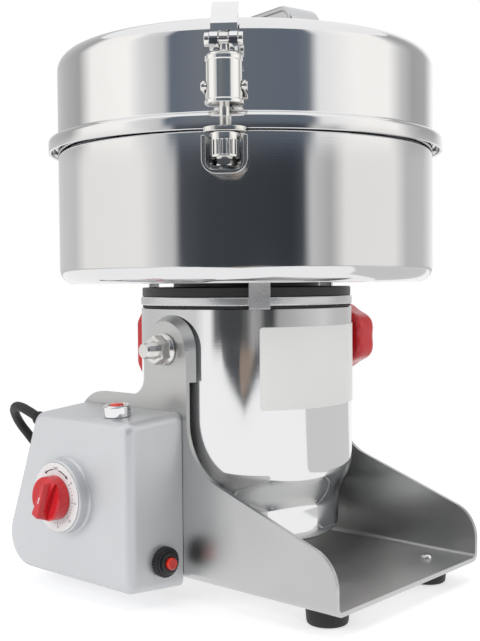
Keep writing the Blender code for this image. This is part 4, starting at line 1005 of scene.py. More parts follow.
    def _floor_cards(self) -> None:
        """Cards on the floor, which the motor housing reflects."""
        bench, centre = self.bench, self.maker.layout.axis
        for k, (colour, corners) in enumerate(FLOOR_CARDS):
            bench.clear()
            points = []
            for radius, angle in corners:
                turn = math.radians(self.heading + 180 + angle)
                points.append((centre.x + radius * math.cos(turn), centre.y + radius * math.sin(turn),
                    0.0006 + 0.0004 * k))
            card = bench.trace("floor_card_" + str(k), points, True)
            bench.edit(card)
            bpy.ops.mesh.edge_face_add()
            bpy.ops.object.mode_set(mode="OBJECT")
            made = bpy.data.materials.new(card.name)
            made.use_nodes = True
            nodes = Nodes(made.node_tree)
            made.node_tree.nodes.clear()
            glow = nodes.add("ShaderNodeEmission", {"Color": (*colour, 1), "Strength": 1.0})
            nodes.add("ShaderNodeOutputMaterial", {0: glow.outputs[0]})
            card.data.materials.append(made)
            for rays in ("visible_camera", "visible_diffuse", "visible_shadow", "visible_volume_scatter"):
                setattr(card, rays, False)

    @staticmethod
    def _lamp(name: str, place: Place, target: Place, size: float, power: float) -> None:
        """Add a square softbox that lights only what isn't a mirror.

        Args:
            name: the lamp's name.
            place: where it stands.
            target: where it points.
            size: its side in metres.
            power: its power in watts.
        """
        data = bpy.data.lights.new(name, "AREA")
        data.size, data.energy = size, power
        lamp = bpy.data.objects.new(name, data)
        bpy.context.scene.collection.objects.link(lamp)
        lamp.location = place
        lamp.rotation_euler = (Vector(target) - Vector(place)).to_track_quat("-Z", "Y").to_euler()
        lamp.visible_camera = False
        lamp.visible_glossy = False


FLOOR_CARDS = [((0.070, 0.075, 0.080), [(1.08, -3.0), (1.32, -12.0), (1.59, -19.0), (2.0, -24.5), (2.55, -27.0),
    (2.58, -16.0), (2.58, 0.0), (2.58, 14.0), (2.55, 24.0), (2.0, 18.0), (1.59, 10.0), (1.32, 4.0)]), ((0.32, 0.25,
    0.20), [(1.22, -5.0), (1.59, -8.0), (2.0, -8.0), (2.57, -6.0), (2.57, 9.0), (2.0, 6.0), (1.59, 2.5)]), ((0.66,
    0.66, 0.66), [(0.30, 62.0), (2.4, 62.0), (2.4, 80.0), (2.4, 100.0), (2.4, 120.0), (2.4, 140.0), (0.30, 140.0)]),
    ]
BASE_CARDS = [(0.0, 0.62, 0.0), (0.15, 0.60, 0.0), (0.30, 0.68, 0.0), (0.345, 0.66, 0.0), (0.375, 0.95, 0.0),
    (0.392, 0.97, 0.0), (0.408, 0.16, 0.0), (0.426, 0.067, 0.2), (0.482, 0.067, 0.2), (0.50, 0.14, 0.0), (0.517,
    0.40, 0.0), (0.537, 0.32, 0.0), (0.553, 0.08, 0.0), (0.574, 0.053, 0.2), (0.592, 0.37, 0.0), (0.65, 0.49, 0.0),
    (0.70, 0.60, 0.0), (0.745, 0.68, 0.0), (0.80, 0.57, 0.0), (0.87, 0.55, 0.0), (0.93, 0.62, 0.0), ]
LOW_CARDS = [(0.0, 0.80, 0.0), (0.08, 0.66, 0.0), (0.165, 0.62, 0.0), (0.20, 0.90, -0.12), (0.328, 0.93, -0.12),
    (0.360, 0.68, 0.0), (0.385, 0.58, 0.0), (0.396, 0.085, 0.5), (0.44, 0.060, 0.6), (0.50, 0.052, 0.5), (0.572,
    0.046, 0.7), (0.589, 0.075, 0.6), (0.603, 0.62, 0.0), (0.635, 0.45, 0.0), (0.662, 0.88, -0.12), (0.765, 0.90,
    -0.12), (0.80, 0.56, 0.0), (0.86, 0.58, 0.0), (0.92, 0.90, 0.0), ]
HIGH_CARDS = [(0.0, 0.80, 0.0), (0.07, 0.62, 0.0), (0.185, 0.42, 0.0), (0.222, 1.05, -0.12), (0.305, 1.10, -0.12),
    (0.332, 0.82, 0.0), (0.370, 0.66, 0.0), (0.382, 0.17, 0.9), (0.43, 0.21, 0.4), (0.50, 0.17, 0.6), (0.58, 0.16,
    0.9), (0.600, 0.20, 0.5), (0.615, 0.90, 0.0), (0.68, 1.08, -0.12), (0.75, 1.08, -0.12), (0.785, 0.62, 0.0),
    (0.82, 0.42, 0.0), (0.87, 0.45, 0.0), (0.92, 0.95, 0.0), ]


# === mains lead =================================================================================
@dataclass
class MainsLead(Part):
    """Black lead: its loop behind the control box, its fall, its run and its coil."""

    radius: float = 3.5
    gland_place: Place = (-106.0, 91.583, 94.461)
    gland_out: Place = (-0.070156, 0.930179, 0.36034)
    bend: float = 27.0
    loop_down: Place = (0.611, 0.325, -0.721)
    fall: tuple = ((-71, 147, 60), (-62, 149, 36), (-50, 156, 12), (-30, 166, -5))
    run: tuple = ((0, 178), (35, 191.5), (66, 199.3))
    coil: tuple[float, float] = (118.0, 160.0)
    floor: float = -13.4
    outer: float = 42.0
    inner: float = 35.0
    coil_points: int = 16
    change: float = 0.25
    turns: float = 3.74

    def route(self) -> list[Vector]:
        """Points of the free lead, then of the coil, then of the end under the plug.

        Returns:
            The points in millimetres.
        """
        start, out, down = Vector(self.gland_place), Vector(self.gland_out), Vector(self.loop_down)
        mouth = start + 31 * out
        points = [start - 4 * out, start + 8 * out, start + 21 * out, mouth]
        for k in range(1, 6):
            a = math.radians(26 * k)
            points.append(mouth + self.bend * (math.sin(a) * out + (1 - math.cos(a)) * down))
        level = self.floor + self.radius + 0.3
        points += [Vector(p) for p in self.fall] + [Vector((x, y, level)) for x, y in self.run]
        cx, cy = self.coil
        raised = level + 2 * self.radius
        layers = [(self.outer, level), (self.inner, level), (self.inner, raised), (self.outer, raised)]
        for k in range(math.ceil(self.turns * self.coil_points) + 1):
            turns = k / self.coil_points
            layer = int(turns)
            radius, height = layers[layer]
            if layer:
                blend = min(1.0, turns % 1 / self.change)
                radius = layers[layer - 1][0] + (radius - layers[layer - 1][0]) * blend
                height = layers[layer - 1][1] + (height - layers[layer - 1][1]) * blend
            a = math.radians(90 - 360 * turns)
            points.append(Vector((cx + radius * math.cos(a), cy + radius * math.sin(a), height)))
        points += [Vector((cx - self.outer, cy + 18, level + 1.8 * self.radius)), Vector((cx - self.outer, cy + 34,
            level + 1.75 * self.radius)), Vector((cx - self.outer, cy + 50, level + 1.7 * self.radius))]
        return points

    def build(self) -> None:
        """Make the lead, its strain relief and its plug."""
        bench = self.bench
        plug = self._plug()
        points = [self.maker.layout.point(p) for p in self.route()]
        curve = bpy.data.curves.new("mains_lead", "CURVE")
        curve.dimensions, curve.bevel_depth, curve.bevel_resolution = "3D", self.radius * MM, 4
        curve.resolution_u, curve.use_fill_caps = 6, True
        spline = curve.splines.new("BEZIER")
        spline.bezier_points.add(len(points) - 1)
        for knot, point in zip(spline.bezier_points, points):
            knot.co = point
            knot.handle_left_type = knot.handle_right_type = "AUTO"
        lead = bpy.data.objects.new("mains_lead", curve)
        bpy.context.scene.collection.objects.link(lead)
        bench.clear()
        curve.materials.append(self.maker.looks[Look.RUBBER])
        self.maker.enter(lead, Look.RUBBER, "frame", "mains_cord", "cord_coil")
        gland = self._gland()
        length = measure(lead)
        log.info("the lead measures %.4f m", length)

    def _gland(self) -> Piece:
        """Tapered and ribbed strain relief on the box.

        Returns:
            The strain relief.
        """
        r = self.radius + 0.3
        outline = [(r, -8), (r + 1.8, -8), (r + 1.8, 0.3), (8.4, 0.3), (9, 0.9), (9, 5.4), (8.4, 6.2), (7.2, 7.4)]
        for k in range(5):
            z, rib = 8.4 + 2.4 * k, 6.9 - 0.42 * k
            outline += [(rib, z), (rib, z + 1.2), (rib - 0.9, z + 1.4), (rib - 0.95, z + 2.2)]
        outline += [(r + 0.9, 20.4), (r, 20.6)]
        gland = self.bench.turn("lead_gland", outline, 48)
        self.bench.put(gland, wall_place(self.gland_place, self.gland_out))
        return self.maker.fit(gland, Look.BLACK, "frame", "cord_gland")

    def _plug(self) -> Piece:
        """Moulded two-pin plug with a tapered neck.

        Returns:
            The plug.
        """
        bench = self.bench
        sections = []
        for y, half, rise in ((-19, 4.6, 4.6), (-9, 5.6, 5.6), (-4, 9.5, 7.6), (0, 12.4, 8.9), (4, 13, 9.4), (17,
                13, 9.4), (19, 11.6, 8.2)):
            ring = fillet([(-half, -rise, min(half, rise) * 0.75), (half, -rise, min(half, rise) * 0.75), (half,
                rise, min(half, rise) * 0.75), (-half, rise, min(half, rise) * 0.75)], steps=5)
            sections.append([(x, y, 9.5 + z) for x, z in ring])
        plug = bench.loft("mains_lead_plug", sections)
        bench.bevel(plug, 0.7, 2, 30)
        pins = []
        for side in (-1, 1):
            pin = bench.turn("pin", [(0, 0), (2.3, 0), (2.3, 19), (1.7, 20.4), (0, 20.4)], 24)
            pins.append(bench.put(pin, shift(side * 7, 18.4, 9.5) @ Matrix.Rotation(-math.pi / 2, 4, "X")))
        cx, cy = self.coil
        place = shift(cx - self.outer, cy + 63.6, self.floor)
        pair = bench.join(*pins)
        pair.name = pair.data.name = "mains_lead_pins"
        bench.put(pair, place)
        self.maker.fit(pair, Look.CHROME, "frame")
        bench.put(plug, place)
        return self.maker.fit(plug, Look.BLACK, "frame", "mains_plug")


def wall_place(place: Place, out: Place) -> Matrix:
    """Frame on a wall of the control box.

    Args:
        place: the point on the wall.
        out: the direction off the wall.

    Returns:
        A frame whose Z points off the wall and whose X runs away from the side plate.
    """
    z = Vector(out).normalized()
    x = (Vector((-1, 0, 0)) - z * z.dot(Vector((-1, 0, 0)))).normalized()
    frame_at = Matrix((x, z.cross(x), z)).transposed().to_4x4()
    return Matrix.Translation(place) @ frame_at


def measure(curve: Piece) -> float:
    """Length of a curve's own line in metres.

    Args:
        curve: the curve.

    Returns:
        The length.
    """
    spline = curve.data.splines[0]
    total, last = 0.0, None
    knots = spline.bezier_points
    for one, two in zip(knots, knots[1:]):
        for k in range(33):
            t = k / 32
            at = ((1 - t) ** 3 * one.co + 3 * (1 - t) ** 2 * t * one.handle_right
                  + 3 * (1 - t) * t * t * two.handle_left + t ** 3 * two.co)
            if last is not None:
                total += (at - last).length
            last = at
    return total


# === frame ======================================================================================
@dataclass
class BaseFrame(Part):
    """Bent sheet frame with its pivot pads, feet and foot screws."""

    half_width: float = 84.5
    sheet: float = 3.0
    bend: float = 6.0
    front: float = -143.0
    rear: float = 121.0
    corner_height: float = 33.3
    slope: float = 19.5
    neck: float = 20.4
    pivot: float = 154.5
    pad_outer: float = 19.0
    pad_inner: float = 23.0
    pad_foot: float = 133.0
    shoulder: tuple[float, float] = (84.0, 122.0)
    shell_radius: float = 77.6
    bore: float = 5.62
    foot_radius: float = 14.0
    foot_height: float = 13.4
    feet: dict = field(default_factory=lambda: {"foot_front_left": (-58.7, -117.0), "foot_front_right": (58.7,
        -117.0), "foot_rear_left": (-58.7, 96.0), "foot_rear_right": (58.7, 96.0)})

    def side_outline(self) -> Flat:
        """Outline (y, z) of a side plate.

        Returns:
            The closed outline.
        """
        neck_foot = self.corner_height + (-self.neck - self.front) * math.tan(math.radians(self.slope))
        return fillet([(self.front, -self.sheet, 0), (self.front, self.corner_height, 24), (-self.neck, neck_foot,
            42), (-self.neck, self.pivot, 0), (self.neck, self.pivot, 0), (self.neck, self.shoulder[1], 13),
            (*self.shoulder, 28), (self.rear, 3 * self.sheet, 0), (self.rear, -self.sheet, 0)], steps=14)

    def pad_outline(self, radius: float) -> Flat:
        """Outline (y, z) of the pad round a pivot."""
        return arc(0, self.pivot, radius, 0, 180, 40) + [(-radius, self.pad_foot), (radius, self.pad_foot)]

    def build(self) -> None:
        """Make the frame, its feet and the screws that hold them."""
        bench = self.bench
        w, t, r, top = self.half_width, self.sheet, self.bend, self.pivot + 2 * self.pad_outer
        section = fillet([(-w, top, 0), (-w, 0, r), (w, 0, r), (w, top, 0), (w - t, top, 0), (w - t, t, r - t),
            (-w + t, t, r - t), (-w + t, top, 0)], steps=8)
        sheet = bench.put(bench.slab("frame_sheet", section, -self.rear, -self.front), LENGTHWAYS)
        limit = bench.put(bench.slab("limit", self.side_outline(), -2 * w, 2 * w), SIDEWAYS)
        bench.combine(sheet, limit, "INTERSECT")
        for side in (-1, 1):
            pad = bench.loft("pad", [[(side * w, y, z) for y, z in self.pad_outline(self.pad_outer)],
                [(side * self.shell_radius, y, z) for y, z in self.pad_outline(self.pad_inner)]])
            bench.weld(sheet, pad)
            bore = bench.put(bench.disc("bore", self.bore, -10, 20), along_x(side * w, 0, self.pivot, side))
            bench.cut(sheet, bore)
        bench.bevel(sheet, 0.45, 2, 30)
        self.maker.fit(sheet, Look.PLATE, "frame", "base_frame")
        self._feet()

    def _feet(self) -> None:
        """Four rubber feet with dished soles, and the round heads above them."""
        bench, r, h = self.bench, self.foot_radius, self.foot_height
        outline = fillet([(0, -h + 2.4, 0), (4.6, -h + 2.4, 0.4), (5.4, -h, 0.8), (r - 1.0, -h, 1.4), (r - 0.6,
            -h + 3, 0.6), (r, -2.4, 0.8), (r, -0.3, 0.5), (0, -0.3, 0)], closed=False, steps=3)
        foot = bench.turn("foot_pattern", outline, 64)
        head = bench.lathe("screw_pattern", [(0, 3.0, 0), (4.4, 3.0, 0.2), (4.4, 3.5, 0.3), (3.4, 5.3, 1.4), (0,
            5.9, 0)], 4, 48)
        slot = bench.box("slot", (-4, -0.45, 5.0), (4, 0.45, 7))
        bar = bench.box("slot", (-0.45, -4, 5.0), (0.45, 4, 7))
        bench.cut(head, slot, bar)
        for name, (x, y) in self.feet.items():
            self.maker.fit(bench.copy(foot, name + "_rubber", shift(x, y)), Look.RUBBER, "frame", name)
            self.maker.fit(bench.copy(head, name + "_screw", shift(x, y)), Look.ZINC, "frame")
        for pattern in (foot, head):
            bpy.data.objects.remove(pattern)


# === control box ================================================================================
@dataclass
class ControlBox(Part):
    """Cast box with its timer, pilot lamp, breaker, switch and their markings."""

    back: float = -84.8
    depth: float = 45.5
    wall: float = 3.0
    draft: float = 3.2
    edge: float = 7.0
    front: float = -16.0
    bottom: float = -5.0
    top: float = 113.0
    rear_top: float = 86.0
    rear_foot: float = 131.71
    dial: tuple[float, float] = (50.0, 56.0)
    dial_radius: float = 25.0
    dial_rise: float = 8.0
    knob_radius: float = 15.0
    knob_depth: float = 14.0
    knob_rest: float = 25.0
    scale_start: float = 65.0
    scale_step: float = 8.0
    arrow_radius: float = 18.6
    lamp_place: Place = (-114.0, 15.0, 110.946)
    lamp_out: Place = (-0.070156, 0.0, 0.997536)
    breaker_place: Place = (-102.0, -14.79, 16.0)
    breaker_out: Place = (-0.070156, -0.997536, 0.0)
    switch_place: Place = (-106.0, 111.339, 43.461)
    switch_out: Place = (-0.070156, 0.930179, 0.36034)
    switch_tilt: float = 8.0

    @property
    def face(self) -> float:
        """X of the outer face."""
        return self.back - self.depth

    def outline(self, inset: float) -> Flat:
        """Outline (y, z) of the box, moved inwards on every side.

        Args:
            inset: how far it is moved in.

        Returns:
            The closed outline.
        """
        normal = Vector((self.top - self.bottom, self.rear_foot - self.rear_top)).normalized()
        lean = Vector((-normal.y, normal.x))
        edge = Vector((self.rear_top, self.top)) - normal * inset
        high = edge + lean * ((self.top - inset - edge.y) / lean.y)
        low = edge + lean * ((self.bottom + inset - edge.y) / lean.y)
        y = self.front + inset
        return fillet([(y, low.y, 6), (y, high.y, 6), (high.x, high.y, 8), (low.x, low.y, 21)], steps=10)

    def skin(self, name: str, inset: float, face: float, steps: int = 9) -> Piece:
        """Drafted and rounded solid of the box.

        Args:
            name: the new piece's name.
            inset: how far it lies inside the box's outer side.
            face: X of its outer face.
            steps: sections of the rounded edge.

        Returns:
            The solid.
        """
        rows = [(self.back, inset), (face + self.edge, inset + self.draft * 0.85)]
        for k in range(1, steps + 1):
            a = math.pi / 2 * k / steps
            rows.append((face + self.edge * (1 - math.sin(a)),
                inset + self.draft * 0.85 + (self.edge - 1.5) * (1 - math.cos(a))))
        return self.bench.loft(name, [[(x, y, z) for y, z in self.outline(d)] for x, d in rows])

    def build(self) -> None:
        """Make the box and all its fittings."""
        self._casting()
        self._timer()
        self._marks()
        self._lamp()
        self._breaker()
        self._switch()
        self.maker.dress(Look.BLACK, "timer_body", "breaker_body")

    def _casting(self) -> None:
        """Box with an open back, its dial boss and a hole for each fitting."""
        bench = self.bench
        box = self.skin("box_casting", 0, self.face)
        hollow = self.skin("hollow", self.wall, self.face + self.wall, 4)
        bench.put(hollow, shift(0.02))
        at = along_x(self.face, *self.dial, -1)
        boss = bench.lathe("boss", [(0, -2.9, 0), (self.dial_radius + 1.6, -2.9, 0), (self.dial_radius + 1.2, 0.2,
            0), (self.dial_radius, 1.4, 1.2), (self.dial_radius, self.dial_rise + 0.3, 1.1),
            (self.dial_radius - 1.5, self.dial_rise + 0.3, 0.3), (self.dial_radius - 1.5, self.dial_rise - 0.4, 0),
            (0, self.dial_rise - 0.4, 0)], 5, 96)
        bench.weld(box, bench.put(boss, at))
        bench.cut(box, hollow)
        holes = [(3.3, at), (6.5, wall_place(self.lamp_place, self.lamp_out)), (6.4, wall_place(self.breaker_place,
            self.breaker_out)), (5.9, wall_place(MainsLead.gland_place, MainsLead.gland_out))]
        for radius, place in holes:
            bench.cut(box, bench.put(bench.disc("hole", radius, -14, 14), place))
        slot = bench.box("slot", (-6.7, -9.7, -6), (6.7, 9.7, 6))
        bench.cut(box, bench.put(slot, wall_place(self.switch_place, self.switch_out)))
        bench.bevel(box, 0.3, 2, 40)
        self.maker.fit(box, Look.CASTING, "frame", "control_box", smooth=28)

    def _timer(self) -> None:
        """Dial plate, and a knob with a raised bar and a pointer."""
        bench = self.bench
        start = self.dial_rise + 0.3
        plate = bench.lathe("dial_print", [(3.3, start - 0.6, 0), (self.dial_radius - 1.7, start - 0.6, 0),
            (self.dial_radius - 1.7, start + 0.6, 0.25), (3.3, start + 0.6, 0)], 3, 96)
        bench.put(plate, along_x(self.face, *self.dial, -1))
        self.maker.fit(plate, Look.DIAL, "frame", "dial_plate")
        base, r = start + 0.9, self.knob_radius
        at = along_x(self.face - base, *self.dial, -1)
        knob = bench.lathe("timer_knob_red", [(0, 0, 0), (r, 0, 0.3), (r - 0.2, 8.4, 1.6), (r - 4, 9.8, 4), (0,
            10.2, 0)], 5, 96)
        broad, slim = 5.6, 1.6
        foot = fillet([(-r + 1.2, -broad, 2), (r - 1.6, -slim, 1.4), (r - 1.6, slim, 1.4), (-r + 1.2, broad, 2)],
            steps=5)
        bar = bench.loft("bar", [[(x, y, 3) for x, y in foot], [(x, y, 8.4) for x, y in foot], [(x * 0.93, y * 0.62,
            self.knob_depth) for x, y in foot]])
        bench.bevel(bar, 0.7, 3, 30)
        for side in (-1, 1):
            scoop = bench.slab("scoop", [(side * 4.2, 6.6), (side * 22, 11.4), (side * 22, 16), (side * 4.2,
                16)][::side], -r - 2, r + 2)
            scoop = bench.put(scoop, SIDEWAYS)
            bench.cut(knob, bench.put(scoop, Matrix.Rotation(math.radians(-self.knob_rest), 4, "Z")))
        bench.weld(knob, bench.put(bar, Matrix.Rotation(math.radians(-self.knob_rest), 4, "Z")))
        bench.cut(knob, bench.disc("bore", 3.3, -1, 8.0, 32))
        bench.put(knob, at)
        self.maker.fit(knob, Look.RED, "timer_knob", "timer_knob")
        dash = bench.box("timer_knob_dash", (-2.4, -0.45, -0.3), (2.4, 0.45, 0.08), 0.1, 2)
        bench.put(dash, at @ Matrix.Rotation(math.radians(-self.knob_rest), 4, "Z") @ shift(0, 0, self.knob_depth))
        self.maker.fit(dash, Look.DIAL, "timer_knob")

    def _marks(self) -> None:
        """OFF, two arrows, ticks and minutes printed on the dial plate."""
        bench = self.bench
        height = self.dial_rise + 0.9
        at = along_x(self.face - height, *self.dial, -1)
        inks = []
        for k in range(31):
            turn, long = self.scale_start + k * self.scale_step, k % 5 == 0
            tick = bench.box("tick", (16.4 if long else 17.0, -0.2 if long else -0.13, 0), (18.4,
                0.2 if long else 0.13, 0.05))
            inks.append(bench.put(tick, Matrix.Rotation(math.radians(turn), 4, "Z")))
        for start, end, side in ((8, 30, 1), (-36, -10, -1)):
            line = bench.slab("arrow", strip(arc(0, 0, self.arrow_radius, start, end, 14), 0.8), 0, 0.05)
            tip = end if side > 0 else start
            head = bench.slab("head", [(self.arrow_radius - 1.2, 0), (self.arrow_radius + 1.2, 0),
                (self.arrow_radius, side * 2.6)], 0, 0.05)
            inks += [line, bench.put(head, Matrix.Rotation(math.radians(tip), 4, "Z"))]
        upright = Matrix.Rotation(math.radians(-90), 4, "Z")
        inks.append(bench.write("off", "OFF", 3.0, shift(19.2, 0, 0) @ upright))
        for k in range(1, 7):
            a = math.radians(self.scale_start + 5 * k * self.scale_step)
            inks.append(bench.write("number", str(5 * k), 2.2, shift(20.1 * math.cos(a), 20.1 * math.sin(a),
                0) @ upright))
        marks = bench.join(*inks)
        marks.name = marks.data.name = "dial_marks"
        bench.put(marks, at)
        self.maker.fit(marks, Look.BLACK, "frame")

    def _lamp(self) -> None:
        """Pilot lamp: chrome bezel and red lens."""
        bench, place = self.bench, wall_place(self.lamp_place, self.lamp_out)
        bezel = bench.lathe("lamp_ring", [(5.5, -14, 0), (6.2, -14, 0), (6.2, 0.3, 0), (9.2, 0.3, 0.5), (9.2, 7.2,
            0.9), (8.0, 8.0, 0.6), (6.6, 8.0, 0.5), (6.1, 6.6, 0.4), (5.5, 6.6, 0)], 4, 96)
        bench.put(bezel, place)
        self.maker.fit(bezel, Look.CHROME, "frame", "lamp_bezel")
        lens = bench.lathe("lamp_red_lens", [(0, -10, 0), (5.2, -10, 0.4), (5.2, 7.4, 0.6), (3.9, 8.8, 1.8), (0,
            9.4, 0)], 5, 64)
        bench.put(lens, place)
        self.maker.fit(lens, Look.LENS, "frame", "lamp_lens")

    def _breaker(self) -> None:
        """Resettable breaker: knurled nut, black neck and red button."""
        bench, place = self.bench, wall_place(self.breaker_place, self.breaker_out)
        rim = []
        for k in range(28):
            for share, radius in ((0.0, 10.0), (0.55, 10.0), (0.72, 9.45), (0.88, 9.45)):
                a = 2 * math.pi * (k + share) / 28
                rim.append((radius * math.cos(a), radius * math.sin(a)))
        nut = bench.slab("breaker_collar", rim, 0.3, 4.6)
        bench.bevel(nut, 0.3, 2, 60)
        crown = bench.lathe("crown", [(0, 4.2, 0), (8.6, 4.2, 0.4), (8.2, 5.6, 0.6), (0, 5.6, 0)], 3, 64)
        neck = bench.lathe("neck", [(0, 5, 0), (6.9, 5, 0.2), (6.9, 7.6, 0.6), (0, 7.6, 0)], 3, 64)
        bench.weld(nut, crown, neck)
        bench.cut(nut, bench.disc("bore", 4.35, -2, 5.15), bench.disc("bore", 4.35, 5.0, 12), bench.disc("bore",
            6.4, -2, 5.1))
        bench.put(nut, place)
        self.maker.fit(nut, Look.BLACK, "frame", "breaker_nut")
        button = bench.lathe("breaker_cap", [(0, -6.7, 0), (4, -6.7, 0.2), (4, 10.4, 0.9), (3.0, 10.2, 0.4), (0,
            10.0, 0)], 4, 48)
        bench.put(button, place)
        self.maker.fit(button, Look.LENS, "breaker_button", "breaker_button")

    def _switch(self) -> None:
        """Rocker switch in the rear wall: bezel with its housing, and the rocker."""
        bench, place = self.bench, wall_place(self.switch_place, self.switch_out)
        body = bench.box("switch_bezel", (-7.5, -10.5, 0.3), (7.5, 10.5, 2.3), 0.7, 3)
        bench.weld(body, bench.box("housing", (-6.3, -9.3, -16), (6.3, 9.3, 1), 0.4, 2))
        bench.cut(body, bench.box("well", (-5.3, -8.3, -7), (5.3, 8.3, 5)))
        bench.put(body, place)
        self.maker.fit(body, Look.BLACK, "frame", "switch_body")
        profile = arc(0, 0, 7.3, 200, 340, 20) + [(7.1, 2.5), (3.4, 1.5), (0, 1.15), (-3.4, 1.5), (-7.1, 2.5)]
        profile = [(u, max(v, -3.6)) for u, v in profile]
        rocker = bench.slab("rocker", profile, -5.0, 5.0)
        bench.put(rocker, SIDEWAYS)
        bench.bevel(rocker, 0.35, 2, 50)
        bench.put(rocker, place @ Matrix.Rotation(math.radians(-self.switch_tilt), 4, "X"))
        self.maker.fit(rocker, Look.BLACK, "switch_rocker", "switch_rocker")


# === motor ======================================================================================
@dataclass
class MotorUnit(Part):
    """Motor housing with its end bell, sticker, grip, pivots and lock knob."""

    radius: float = 77.0
    wall: float = 2.0
    top: float = 181.3
    waist: float = 76.0
    foot_radius: float = 67.0
    foot_top: float = 48.0
    bottom: float = 19.0
    corner: float = 8.0
    cover_hole: float = 36.0
    pivot: float = 154.5
    bell: tuple[float, float, float] = (183.6, 189.6, 77.2)
    vent: tuple[float, float, float] = (189.9, 196.2, 76.2)
    hub_radius: float = 53.4
    bowl_bottom: float = 199.2
    tab_width: float = 14.6
    tab_azimuth: float = -42.3
    label: tuple[float, float, float] = (113.8, 169.4, 89.0)
    grip: tuple[float, float] = (124.0, 181.0)
    stud_radius: float = 5.5
    stud_reach: float = 104.0
    knob: tuple[float, float, float] = (108.0, 134.0, 27.5)

    def profile(self, inset: float) -> Flat:
        """Side line (r, z) of the housing from its foot to its top, moved in by inset.

        Args:
            inset: how far it is moved in.

        Returns:
            The open line.
        """
        return fillet([(self.cover_hole, self.bottom + inset, 0), (self.foot_radius - inset, self.bottom + inset,
            self.corner - inset), (self.foot_radius - inset, self.foot_top, 24), (self.radius - inset,
            self.waist - 10, 26), (self.radius - inset, self.top, 0)], closed=False, steps=10)

    def build(self) -> None:
        """Make the motor unit."""
        self._housing()
        self._stack()
        self._sticker()
        self._grip()
        self._pivots()
        self._lock()
        self.maker.dress(Look.BLACK, "motor_bottom_cover")
        self.maker.dress(Look.CORE, "stator_core")
        self.maker.dress(Look.ALLOY, "upper_bearing", "lower_bearing", "pivot_lug_left", "pivot_lug_right")

    def _housing(self) -> None:
        """Polished housing with a rolled top edge and a bore for each stud."""
        bench = self.bench
        outer, inner = self.profile(0), self.profile(self.wall)
        shell = bench.turn("motor_housing", outer + inner[::-1], 128)
        for side in (-1, 1):
            bore = bench.disc("bore", self.stud_radius + 0.3, -20, 20, 32)
            bench.cut(shell, bench.put(bore, along_x(side * self.radius, 0, self.pivot)))
        bench.bevel(shell, 0.3, 2, 50)
        self.maker.fit(shell, Look.SHELL, "mill", "motor_shell", smooth=25)

    def _stack(self) -> None:
        """Black gasket, silver bell with its three tabs, and black vent ring."""
        bench = self.bench
        gasket = bench.lathe("housing_gasket", [(70, self.top + 0.3, 0), (76, self.top + 0.3, 0.4), (76,
            self.bell[0] - 0.3, 0.4), (70, self.bell[0] - 0.3, 0)], 3, 128)
        self.maker.fit(gasket, Look.RUBBER, "mill", "gap_gasket")
        low, high, r = self.bell
        bell = bench.lathe("bell", [(11.12, low - 16, 0), (15, low - 16, 0.5), (15, low, 0), (65, low, 0), (65,
            self.top - 8, 0), (69, self.top - 8, 0.5), (69, low, 0), (r, low, 0.9), (r, high, 0.9), (5.3, high, 0),
            (5.3, high - 3, 0), (11.12, high - 3, 0)], 3, 128)
        for k in range(3):
            tab = bench.box("tab", (-self.tab_width / 2, -r - 1, self.top + 0.3), (self.tab_width / 2,
                -self.vent[2] - 0.3, self.bowl_bottom - 0.3), 0.5, 2)
            bench.weld(bell, bench.put(tab, station(self.tab_azimuth + 120 * k)))
        self.maker.fit(bell, Look.ALLOY, "mill", "end_bell", smooth=25)
        low, high, r = self.vent
        ring = bench.lathe("vent", [(10, low, 0), (r, low, 0.5), (r, high, 0.8), (self.hub_radius, high, 0.6),
            (self.hub_radius, self.bowl_bottom - 0.3, 0.3), (10, self.bowl_bottom - 0.3, 0)], 3, 128)
        self.maker.fit(ring, Look.BLACK, "mill", "vent_ring")

    def _sticker(self) -> None:
        """Blank sticker with rounded corners, wrapped on the housing."""
        bench = self.bench
        low, high, span = self.label
        half = self.radius * math.radians(span) / 2
        face = bench.slab("label_sticker", fillet([(-half, low, 2.5), (half, low, 2.5), (half, high, 2.5), (-half,
            high, 2.5)], steps=5), 0, 0.35)
        bench.edit(face)
        columns = 44
        for k in range(1, columns):
            bpy.ops.mesh.select_all(action="SELECT")
            x = -half + 2 * half * k / columns
            bpy.ops.mesh.bisect(plane_co=(x, 0, 0), plane_no=(1, 0, 0))
        bpy.ops.object.mode_set(mode="OBJECT")
        for v in face.data.vertices:
            a = v.co.x / self.radius
            r = self.radius + 0.2 + v.co.z
            v.co = (r * math.sin(a), -r * math.cos(a), v.co.y)
        bench.edit(face)
        bench.close()
        bench.put(face, station(self.tab_azimuth + span / 2))
        self.maker.fit(face, Look.LABEL, "mill", "label_plate", smooth=40)

    def _grip(self) -> None:
        """Rounded grip on the back of the housing."""
        bench = self.bench
        low, high = self.grip
        outline = fillet([(60, low, 0), (90, low, 6), (98, low + 12, 9), (98, high - 12, 9), (90, high, 6), (60,
            high, 0)], steps=6)
        grip = bench.put(bench.slab("tilt_grip", outline, -20, 20), SIDEWAYS)
        bench.bevel(grip, 2.6, 4, 50)
        for k in range(4):
            groove = bench.box("groove", (-15, 96.4, low + 15 + 8 * k), (15, 104, low + 17.6 + 8 * k), 0.9, 2)
            bench.cut(grip, groove)
        bench.cut(grip, bench.disc("seat", self.radius + 0.35, low - 5, high + 5, 160))
        self.maker.fit(grip, Look.RED, "mill", "rear_grip")

